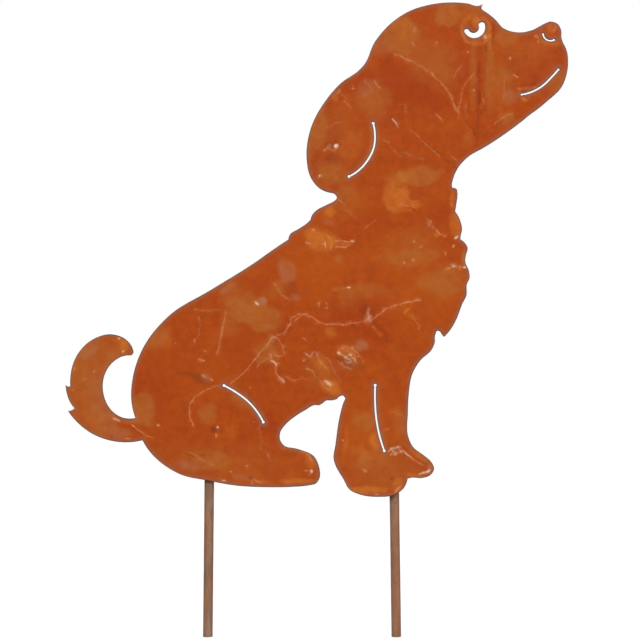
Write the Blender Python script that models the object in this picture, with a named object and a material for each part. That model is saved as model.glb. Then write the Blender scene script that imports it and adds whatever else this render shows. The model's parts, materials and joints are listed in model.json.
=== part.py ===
"""A sitting dog cut from sheet steel, on two round stakes for the garden.

The sheet stands upright, faces -Y and looks up to the right, +X. The two stakes stand behind it,
welded to its back, and go down into the ground. Z = 0 is the ground, and the origin lies there,
midway between the stakes and on the plane of their axes.
"""

from math import acos, asin, atan2, ceil, cos, hypot, pi, radians, sin, tan

import bmesh
import bpy
from mathutils import Matrix

FIGURE_HEIGHT = 0.3028
SHEET_THICKNESS = 0.0020
PAW_ABOVE_GROUND = 0.0863

KERF = 0.0010
PIERCE_DIAMETER = 0.0017
FINE_PIERCE_DIAMETER = 0.0013

STAKE_DIAMETER = 0.0060
STAKE_LENGTH = 0.2800
REAR_STAKE_LAP = 0.0360
FRONT_STAKE_LAP = 0.0320
STAKE_TOP_CHAMFER = 0.0004
STAKE_POINT_LENGTH = 0.0140
STAKE_TIP_DIAMETER = 0.0025
STAKE_SPACING_SHARE = 0.3828
REAR_STAKE_SPLAY = radians(0.55)
FRONT_STAKE_SPLAY = radians(0.80)
STAKE_SIDES = 24

WELD_LENGTH = 0.0110
WELD_LEG = 0.0025
UPPER_WELD_BELOW_TOP = 0.0050
LOWER_WELD_ABOVE_EDGE = 0.0075
WELD_SIDES = 14

TOUCH_GAP = 0.0003

# The pattern is drawn in millimetres: X from midway between the stakes, Z from the lowest paw.
PATTERN_HEIGHT = 302.8
MOST_BEND_PER_FACET = radians(8.0)
LONGEST_FACET = 0.0060

# Each stretch starts at a sharp corner, runs through its points as one smooth curve and ends at the
# corner where the next stretch starts.
OUTLINE = {
    "tail underside": (
        (-97.7, 34.6), (-108.0, 33.4), (-117.5, 34.5), (-129.7, 39.4), (-138.7, 46.8),
    ),
    "lower tail tuft": ((-143.3, 52.6), (-141.0, 53.1)),
    "tail between its tufts": ((-139.3, 54.3), (-142.1, 58.1), (-144.0, 63.3)),
    "upper tail tuft": ((-144.8, 68.6), (-143.4, 67.6)),
    "back and tip of the tail": (
        (-141.9, 67.8), (-141.8, 73.9), (-139.0, 84.5), (-130.0, 95.3), (-117.0, 99.6), (-107.5, 96.2),
        (-103.8, 91.0), (-103.3, 88.3), (-104.4, 86.8), (-107.2, 86.6),
    ),
    "inner curve of the tail": (
        (-110.8, 85.7), (-117.6, 80.6), (-121.7, 72.0), (-121.4, 62.0), (-117.4, 53.8), (-110.5, 48.8),
    ),
    "rump and back": (
        (-102.1, 48.3), (-104.5, 59.0), (-103.9, 71.5), (-97.2, 91.5), (-80.8, 111.5), (-56.3, 126.5),
        (-31.8, 141.6), (-10.3, 156.4),
    ),
    "lower tuft of the back": ((-8.4, 157.6), (-6.9, 161.3), (-3.8, 163.2), (3.0, 167.6)),
    "upper tuft of the back": ((5.3, 169.8), (6.0, 172.3), (7.8, 174.6), (15.9, 179.2)),
    "nape under the ear": ((20.0, 181.4), (21.3, 183.4), (20.3, 185.1)),
    "ear": (
        (18.0, 186.1), (11.0, 188.7), (5.3, 195.6), (2.8, 207.5), (5.4, 225.8), (14.7, 243.0),
        (25.3, 254.6), (33.4, 260.0), (38.4, 265.2), (44.1, 277.8), (53.9, 289.5), (66.1, 297.6),
        (78.3, 301.4), (90.6, 302.8), (101.5, 302.1), (108.2, 300.7),
    ),
    "tuft on the crown": ((111.1, 302.0), (110.0, 299.3)),
    "forehead, muzzle and nose": (
        (110.3, 298.4), (118.3, 292.4), (123.1, 287.2), (131.7, 284.5), (141.4, 286.0), (148.7, 289.9),
        (152.5, 291.1), (156.3, 289.8), (158.6, 286.2), (158.9, 281.2), (162.3, 272.6), (162.6, 261.6),
        (158.6, 250.4), (151.0, 243.0),
    ),
    "lower jaw and throat": (
        (139.5, 233.9), (121.2, 220.1), (110.5, 213.3), (103.0, 209.1), (96.2, 202.4), (92.4, 194.2),
        (91.8, 190.4),
    ),
    "collar tuft": ((92.1, 189.3), (94.7, 188.4), (95.2, 186.2), (94.6, 179.9)),
    "first tuft of the chest": ((93.8, 174.8), (97.5, 167.2), (98.0, 163.6), (97.2, 160.0)),
    "second tuft of the chest": (
        (97.0, 157.7), (99.8, 155.5), (101.4, 152.5), (100.4, 148.0), (100.0, 144.3),
    ),
    "third tuft of the chest": (
        (100.5, 142.2), (102.5, 137.0), (102.5, 133.6), (101.1, 130.6), (100.6, 123.1), (98.2, 118.3),
        (94.6, 108.8), (90.7, 102.1),
    ),
    "tip of the chest hair": ((87.0, 97.9), (85.6, 99.5), (84.3, 101.3), (83.0, 101.7), (81.6, 99.2)),
    "front of the foreleg": (
        (81.5, 95.3), (79.7, 90.6), (72.1, 83.1), (67.3, 74.5), (65.5, 64.3), (64.8, 50.0), (64.7, 38.5),
        (67.9, 30.8), (74.5, 25.6), (79.6, 20.8), (80.9, 17.2), (79.0, 13.7), (73.0, 11.5), (67.5, 11.8),
    ),
    "forepaw": (
        (64.7, 11.2), (62.6, 5.8), (57.0, 1.4), (46.5, 0.0), (35.5, 1.4), (29.3, 4.3), (25.1, 11.3),
        (21.0, 18.2), (19.3, 23.4), (20.3, 31.0), (23.6, 51.6), (25.4, 57.8),
    ),
    "notch behind the foreleg": ((26.5, 60.2), (24.8, 62.0), (22.8, 61.3)),
    "belly hair": ((21.5, 59.9), (18.6, 59.1), (14.7, 58.9), (12.2, 57.0)),
    "belly and inside of the thigh": (
        (10.3, 56.0), (7.9, 56.2), (2.3, 53.3), (-3.4, 49.8), (-9.8, 44.6), (-13.3, 39.5), (-13.4, 35.0),
        (-10.8, 31.4),
    ),
    "hind foot": (
        (-8.3, 30.4), (-0.4, 28.7), (7.0, 25.2), (10.6, 18.0), (10.4, 10.6), (8.5, 8.2), (4.5, 7.1),
        (-5.0, 6.2), (-20.0, 5.9), (-40.0, 6.9), (-60.0, 10.4), (-73.0, 13.2), (-84.0, 19.2), (-92.2, 26.5),
    ),
}

EAR_SLIT = (
    (43.6, 228.8), (44.7, 220.6), (44.2, 215.0), (40.1, 206.0), (33.6, 199.1), (28.8, 196.2),
)
MOUTH_SLIT = ((134.6, 246.4), (140.4, 247.9), (147.4, 251.8), (153.0, 257.2), (157.1, 261.8))
THIGH_SLIT = ((-47.8, 68.2), (-40.5, 64.1), (-33.7, 59.1), (-28.1, 53.0), (-23.7, 45.8))
FORELEG_SLIT = ((44.8, 68.4), (44.7, 59.5), (45.3, 49.6), (47.1, 39.0), (50.4, 28.2))

NOSE_CENTRE = (152.3, 284.0)
NOSE_RADIUS = 4.65
NOSE_FROM = radians(188.0)
NOSE_TO = radians(298.0)

EYE_CENTRE = (105.3, 287.6)
EYE_RADIUS = 5.0
EYE_FROM = radians(203.0)
EYE_TO = radians(381.0)
EYE_WIDTHS = (2.8, 3.3, 3.9)
EYE_END_SHARE = 0.65

ARC_STEPS = 14
END_STEPS = 6
SLIT_STEP = 0.0020


def clear_scene():
    for obj in list(bpy.data.objects):
        bpy.data.objects.remove(obj)


def figure_scale():
    """Metres of the figure for one millimetre of its pattern."""
    return FIGURE_HEIGHT / PATTERN_HEIGHT


def on_sheet(points):
    scale = figure_scale()
    return [(x * scale, PAW_ABOVE_GROUND + z * scale) for x, z in points]


def tangents(points):
    """The direction at each point of the parabola through it and its two neighbours."""
    spans = [hypot(b[0] - a[0], b[1] - a[1]) for a, b in zip(points, points[1:])]
    slopes = [
        ((b[0] - a[0]) / span, (b[1] - a[1]) / span)
        for a, b, span in zip(points, points[1:], spans)
    ]
    inner = []
    for before, after, first, second in zip(slopes, slopes[1:], spans, spans[1:]):
        share = first / (first + second)
        inner.append(tuple(a + (b - a) * share for a, b in zip(before, after)))
    start = tuple(2 * slope - other for slope, other in zip(slopes[0], (inner or slopes)[0]))
    end = tuple(2 * slope - other for slope, other in zip(slopes[-1], (inner or slopes)[-1]))
    return [start, *inner, end]


def turn_between(first, second):
    dot = first[0] * second[0] + first[1] * second[1]
    size = hypot(*first) * hypot(*second)
    return acos(max(-1.0, min(1.0, dot / size)))


def smooth_curve(points, longest=LONGEST_FACET):
    """Points along one smooth curve through these, closer together where it bends more."""
    ways = tangents(points)
    curve = []
    for a, b, way_a, way_b in zip(points, points[1:], ways, ways[1:]):
        span = hypot(b[0] - a[0], b[1] - a[1])
        chord = (b[0] - a[0], b[1] - a[1])
        turn = turn_between(way_a, chord) + turn_between(chord, way_b)
        steps = ceil(max(turn / MOST_BEND_PER_FACET, span / longest))
        for step in range(steps):
            t = step / steps
            curve.append(
                tuple(
                    (1 + 2 * t) * (1 - t) ** 2 * a[axis]
                    + t * (1 - t) ** 2 * span * way_a[axis]
                    + t * t * (3 - 2 * t) * b[axis]
                    + t * t * (t - 1) * span * way_b[axis]
                    for axis in (0, 1)
                )
            )
    return curve + [points[-1]]


def dog_outline():
    """The edge of the sheet, once round, clockwise as seen from the front."""
    stretches = list(OUTLINE.values())
    outline = []
    for stretch, following in zip(stretches, stretches[1:] + stretches[:1]):
        outline += smooth_curve(on_sheet(stretch + following[:1]))[:-1]
    return outline


def edge_height(outline, x):
    """The height of the sheet's lowest edge above the ground at this x."""
    heights = []
    for a, b in zip(outline, outline[1:] + outline[:1]):
        if (a[0] - x) * (b[0] - x) <= 0 and a[0] != b[0]:
            heights.append(a[1] + (b[1] - a[1]) * (x - a[0]) / (b[0] - a[0]))
    return min(heights)


def beside(point, angle, distance):
    return (point[0] + distance * cos(angle), point[1] + distance * sin(angle))


def headings(path):
    """The direction of the path at each of its points, as an angle."""
    ahead = path[1:] + path[-1:]
    behind = path[:1] + path[:-1]
    return [atan2(b[1] - a[1], b[0] - a[0]) for a, b in zip(behind, ahead)]


def slit(path, pierce_diameter):
    """The edge of a cut of the kerf's width along the path, with a pierced hole round each end."""
    radius = max(pierce_diameter, KERF) / 2
    opening = asin(KERF / 2 / radius)
    reach = radius * cos(opening)
    turned = headings(path)
    sides = []
    for point, heading in zip(path, turned):
        from_start = hypot(point[0] - path[0][0], point[1] - path[0][1])
        from_end = hypot(point[0] - path[-1][0], point[1] - path[-1][1])
        if min(from_start, from_end) > reach:
            sides.append((point, heading))
    sweep = 2 * (pi - opening)
    steps = END_STEPS * 2
    start_arc = [
        beside(path[0], turned[0] - opening - sweep * step / steps, radius) for step in range(steps + 1)
    ]
    end_arc = [
        beside(path[-1], turned[-1] + pi - opening - sweep * step / steps, radius)
        for step in range(steps + 1)
    ]
    left = [beside(point, heading + pi / 2, KERF / 2) for point, heading in sides]
    right = [beside(point, heading - pi / 2, KERF / 2) for point, heading in reversed(sides)]
    return start_arc + left + end_arc + right


def arc(centre, radius, start, end, steps):
    return [
        beside(centre, start + (end - start) * step / steps, radius) for step in range(steps + 1)
    ]


def nose_path():
    centre = on_sheet([NOSE_CENTRE])[0]
    return arc(centre, NOSE_RADIUS * figure_scale(), NOSE_FROM, NOSE_TO, ARC_STEPS)


def eye():
    """A crescent round the pupil that widens from its rear end to its front one."""
    scale = figure_scale()
    centre = on_sheet([EYE_CENTRE])[0]
    outer = []
    inner = []
    for step in range(ARC_STEPS + 1):
        t = step / ARC_STEPS
        angle = EYE_FROM + (EYE_TO - EYE_FROM) * t
        rear, middle, front = EYE_WIDTHS
        width = rear * (1 - t) ** 2 + middle * 2 * t * (1 - t) + front * t * t
        outer.append(beside(centre, angle, (EYE_RADIUS + width / 2) * scale))
        inner.append(beside(centre, angle, (EYE_RADIUS - width / 2) * scale))
    front_end = crescent_end(centre, EYE_TO, EYE_WIDTHS[2], 1)
    rear_end = crescent_end(centre, EYE_FROM, EYE_WIDTHS[0], -1)
    return outer + front_end + inner[::-1] + rear_end


def crescent_end(centre, angle, width, way):
    """The rounded end of the crescent: half an ellipse across its width, without its two ends."""
    scale = figure_scale()
    end = []
    for step in range(1, END_STEPS):
        around = pi * step / END_STEPS
        across = EYE_RADIUS + way * width / 2 * cos(around)
        along = EYE_END_SHARE * width / 2 * sin(around)
        point = beside(centre, angle, across * scale)
        end.append(beside(point, angle + way * pi / 2, along * scale))
    return end


def cut_outs():
    long_slits = [
        slit(smooth_curve(on_sheet(path), SLIT_STEP), PIERCE_DIAMETER)
        for path in (EAR_SLIT, THIGH_SLIT, FORELEG_SLIT)
    ]
    mouth = slit(smooth_curve(on_sheet(MOUTH_SLIT), SLIT_STEP), FINE_PIERCE_DIAMETER)
    nose = slit(nose_path(), FINE_PIERCE_DIAMETER)
    return [*long_slits, mouth, nose, eye()]


def material(name, colour, roughness, metallic):
    made = bpy.data.materials.new(name)
    made.use_nodes = True
    shader = made.node_tree.nodes["Principled BSDF"]
    shader.inputs["Base Color"].default_value = (*colour, 1.0)
    shader.inputs["Roughness"].default_value = roughness
    shader.inputs["Metallic"].default_value = metallic
    return made


def dog_plate(outline, finish):
    """The sheet: its outline and cut-outs filled as a flat curve and raised to its thickness."""
    curve = bpy.data.curves.new("dog_plate", "CURVE")
    curve.dimensions = "2D"
    curve.fill_mode = "BOTH"
    curve.extrude = SHEET_THICKNESS / 2
    for loop in [outline, *cut_outs()]:
        spline = curve.splines.new("POLY")
        spline.points.add(len(loop) - 1)
        spline.points.foreach_set("co", [value for x, z in loop for value in (x, z, 0.0, 1.0)])
        spline.use_cyclic_u = True
    curve.materials.append(finish)
    plate = bpy.data.objects.new("dog_plate", curve)
    plate.rotation_euler.x = pi / 2
    plate.location.y = -(STAKE_DIAMETER / 2 + TOUCH_GAP + SHEET_THICKNESS / 2)
    bpy.context.collection.objects.link(plate)


def turned(name, profile, sides):
    """A solid turned round Z from its (radius, height) profile, which starts and ends on the axis."""
    shape = bmesh.new()
    corners = [shape.verts.new((radius, 0.0, height)) for radius, height in profile]
    lines = [shape.edges.new(pair) for pair in zip(corners, corners[1:])]
    bmesh.ops.spin(
        shape, geom=corners + lines, cent=(0, 0, 0), axis=(0, 0, 1), angle=2 * pi, steps=sides,
        use_merge=True,
    )
    bmesh.ops.remove_doubles(shape, verts=shape.verts, dist=1e-6)
    for pole in [vert for vert in shape.verts if hypot(vert.co.x, vert.co.y) < 1e-6]:
        bmesh.ops.dissolve_verts(shape, verts=[pole])
    bmesh.ops.recalc_face_normals(shape, faces=shape.faces)
    mesh = bpy.data.meshes.new(name)
    shape.to_mesh(mesh)
    shape.free()
    mesh.shade_smooth()
    mesh.set_sharp_from_angle(angle=radians(40.0))
    return mesh


def stake_mesh(name):
    """A round bar hanging from its top at Z = 0, with a blunt point for the ground."""
    radius = STAKE_DIAMETER / 2
    tip_radius = STAKE_TIP_DIAMETER / 2
    profile = [
        (0.0, 0.0),
        (radius - STAKE_TOP_CHAMFER, 0.0),
        (radius, -STAKE_TOP_CHAMFER),
        (radius, STAKE_POINT_LENGTH - STAKE_LENGTH),
        (tip_radius, -STAKE_LENGTH),
        (0.0, -STAKE_LENGTH),
    ]
    return turned(name, profile, STAKE_SIDES)


def weld(name, depth):
    """A bead of weld metal in the corner between the bar and the sheet, this deep below the bar's top."""
    radius = STAKE_DIAMETER / 2
    shape = bmesh.new()
    bmesh.ops.create_uvsphere(shape, u_segments=WELD_SIDES, v_segments=WELD_SIDES // 2, radius=1.0)
    half_width = (radius + WELD_LEG) / 2
    place = Matrix.Translation((half_width, -radius, -depth))
    size = Matrix.Diagonal((half_width, WELD_LEG, WELD_LENGTH / 2, 1.0))
    bmesh.ops.transform(shape, matrix=place @ size, verts=shape.verts)
    bmesh.ops.bisect_plane(
        shape, geom=[*shape.verts, *shape.edges, *shape.faces], plane_co=(0, -radius, 0),
        plane_no=(0, -1, 0), clear_outer=True,
    )
    bmesh.ops.holes_fill(shape, edges=[edge for edge in shape.edges if edge.is_boundary])
    bmesh.ops.recalc_face_normals(shape, faces=shape.faces)
    mesh = bpy.data.meshes.new(name)
    shape.to_mesh(mesh)
    shape.free()
    bead = bpy.data.objects.new(name, mesh)
    bead.hide_render = True
    bead.display_type = "WIRE"
    bpy.context.collection.objects.link(bead)
    return bead


def stake(name, side, splay, lap, outline, finish):
    """One stake behind the sheet, lapping its lower edge, and the two welds on its +X flank."""
    ground_x = side * STAKE_SPACING_SHARE * FIGURE_HEIGHT / 2
    edge_x = ground_x - side * tan(splay) * PAW_ABOVE_GROUND
    top = edge_height(outline, edge_x) + lap
    bar = bpy.data.objects.new(name, stake_mesh(name))
    bar.data.materials.append(finish)
    bar.location = (ground_x - side * tan(splay) * top, 0.0, top)
    bar.rotation_euler.y = -side * splay
    bpy.context.collection.objects.link(bar)
    depths = {"upper": UPPER_WELD_BELOW_TOP, "lower": lap - LOWER_WELD_ABOVE_EDGE}
    for label, depth in depths.items():
        bead = weld(f"{name}_{label}_weld", depth)
        bead.parent = bar
        union = bar.modifiers.new(f"{label} weld", "BOOLEAN")
        union.operation = "UNION"
        union.object = bead


def main():
    clear_scene()
    rusted_sheet = material("rusted sheet", (0.395, 0.078, 0.012), 0.42, 0.0)
    rusted_bar = material("rusted bar", (0.260, 0.115, 0.050), 0.60, 0.0)
    outline = dog_outline()
    dog_plate(outline, rusted_sheet)
    stake("rear_stake", -1, REAR_STAKE_SPLAY, REAR_STAKE_LAP, outline, rusted_bar)
    stake("front_stake", 1, FRONT_STAKE_SPLAY, FRONT_STAKE_LAP, outline, rusted_bar)


main()
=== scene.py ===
"""A sitting dog cut from rusted and lacquered sheet steel, on two garden stakes: fine surfaces and finishes.

The frame gives the sheet's outline and the stakes' places. X runs towards the dog's muzzle, Z up from the
ground, and the face that the photograph shows looks along -Y. Lengths are in metres.
"""

import json

import bpy
import numpy as np
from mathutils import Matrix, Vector
from mathutils.geometry import delaunay_2d_cdt


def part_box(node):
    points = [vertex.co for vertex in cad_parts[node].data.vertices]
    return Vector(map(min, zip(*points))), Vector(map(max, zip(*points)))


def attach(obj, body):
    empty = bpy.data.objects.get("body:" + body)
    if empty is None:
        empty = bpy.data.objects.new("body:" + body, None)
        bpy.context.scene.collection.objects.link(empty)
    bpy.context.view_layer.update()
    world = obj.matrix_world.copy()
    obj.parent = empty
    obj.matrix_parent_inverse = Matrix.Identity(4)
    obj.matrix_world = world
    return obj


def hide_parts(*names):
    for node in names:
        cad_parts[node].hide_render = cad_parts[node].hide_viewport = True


bl_info = {
    "name": "Rusted Dog Stake",
    "version": (1, 0, 0),
    "blender": (4, 5, 0),
    "location": "3D View > Sidebar > Rusted Dog",
    "description": "Fine surfaces and finishes of a sheet steel dog on two garden stakes",
    "category": "Object",
}

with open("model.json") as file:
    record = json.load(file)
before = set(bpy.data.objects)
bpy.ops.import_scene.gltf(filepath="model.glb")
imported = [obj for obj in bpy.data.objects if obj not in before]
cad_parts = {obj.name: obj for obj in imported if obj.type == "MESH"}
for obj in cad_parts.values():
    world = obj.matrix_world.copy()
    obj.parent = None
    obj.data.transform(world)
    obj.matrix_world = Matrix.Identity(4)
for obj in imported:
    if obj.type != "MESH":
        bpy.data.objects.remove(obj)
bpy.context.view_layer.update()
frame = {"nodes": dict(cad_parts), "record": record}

MM = 0.001

# The photograph: the size of its pixels on the sheet, and the pixel of the part's origin
PIXEL = 0.000612
ORIGIN_COLUMN = 302.0
GROUND_ROW = 638.0
PHOTO_SIDE = 640

# Room that the fine surfaces leave inside the solid's faces for their relief
FRONT_ROOM = 0.00020
BACK_ROOM = 0.00005

# Turns of the outline and of the slits from which on a corner stays sharp
OUTER_CORNER = np.radians(26.0)
SLIT_CORNER = np.radians(45.0)

# Depths of the rings of points beside the edges of the front and of the back, the least depth of the points
# further in, and the levels of the rings down the cut edge, as shares of its height
FRONT_RINGS = (0.00010, 0.00030, 0.00065)
BACK_RINGS = (0.00012, 0.00035, 0.00080)
EDGE_CLEARANCE = 0.00095
WALL_RINGS = (0.30, 0.55, 0.80)

# Distance between the drag lines down the cut edge, and how far they lean over by its back, as a share of it
DRAG_PITCH = 1.5 * MM
DRAG_LEAN = 0.35

# Rows of points beside each stroke, in steps of this share of its half width, and their distance along it
STROKE_SIDES = (-2.0, -1.0, 0.0, 1.0, 2.0)
STROKE_STEP = 0.85
STROKE_PITCH = 0.7 * MM

# Patches up to this half size, in pixels, get points of their own at this distance, and the smallest spots a
# ragged edge too. Of the points of strokes and patches, one is kept in each cell of the fine pitch.
CLOSE_PATCH = 5
PATCH_PITCH = 0.42 * MM
SPOT_SIZE = 3.0
FINE_PITCH = 0.26 * MM

# Depths between which the burnt edge fades on the front and on the back, and the rim beside it on the front
FRONT_BURNT = (0.08 * MM, 0.50 * MM)
BACK_BURNT = (0.3 * MM, 1.3 * MM)
FRONT_RIM = (0.3 * MM, 3.2 * MM)

# Random numbers along each side of a noise lattice, and points that are measured at a time
LATTICE = 32
CHUNK = 1500

# What each colour attribute of the sheet holds in its red, green and blue. Its brown is partly painted
# reflection in the lacquer, and its bright partly painted highlight.
LAYERS = {
    "patches": ("brown", "orange", "mauve"),
    "marks": ("pale", "bright", "dark"),
    "edges": ("burnt", "rim", "deep"),
    "clouds": ("light",),
}
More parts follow.
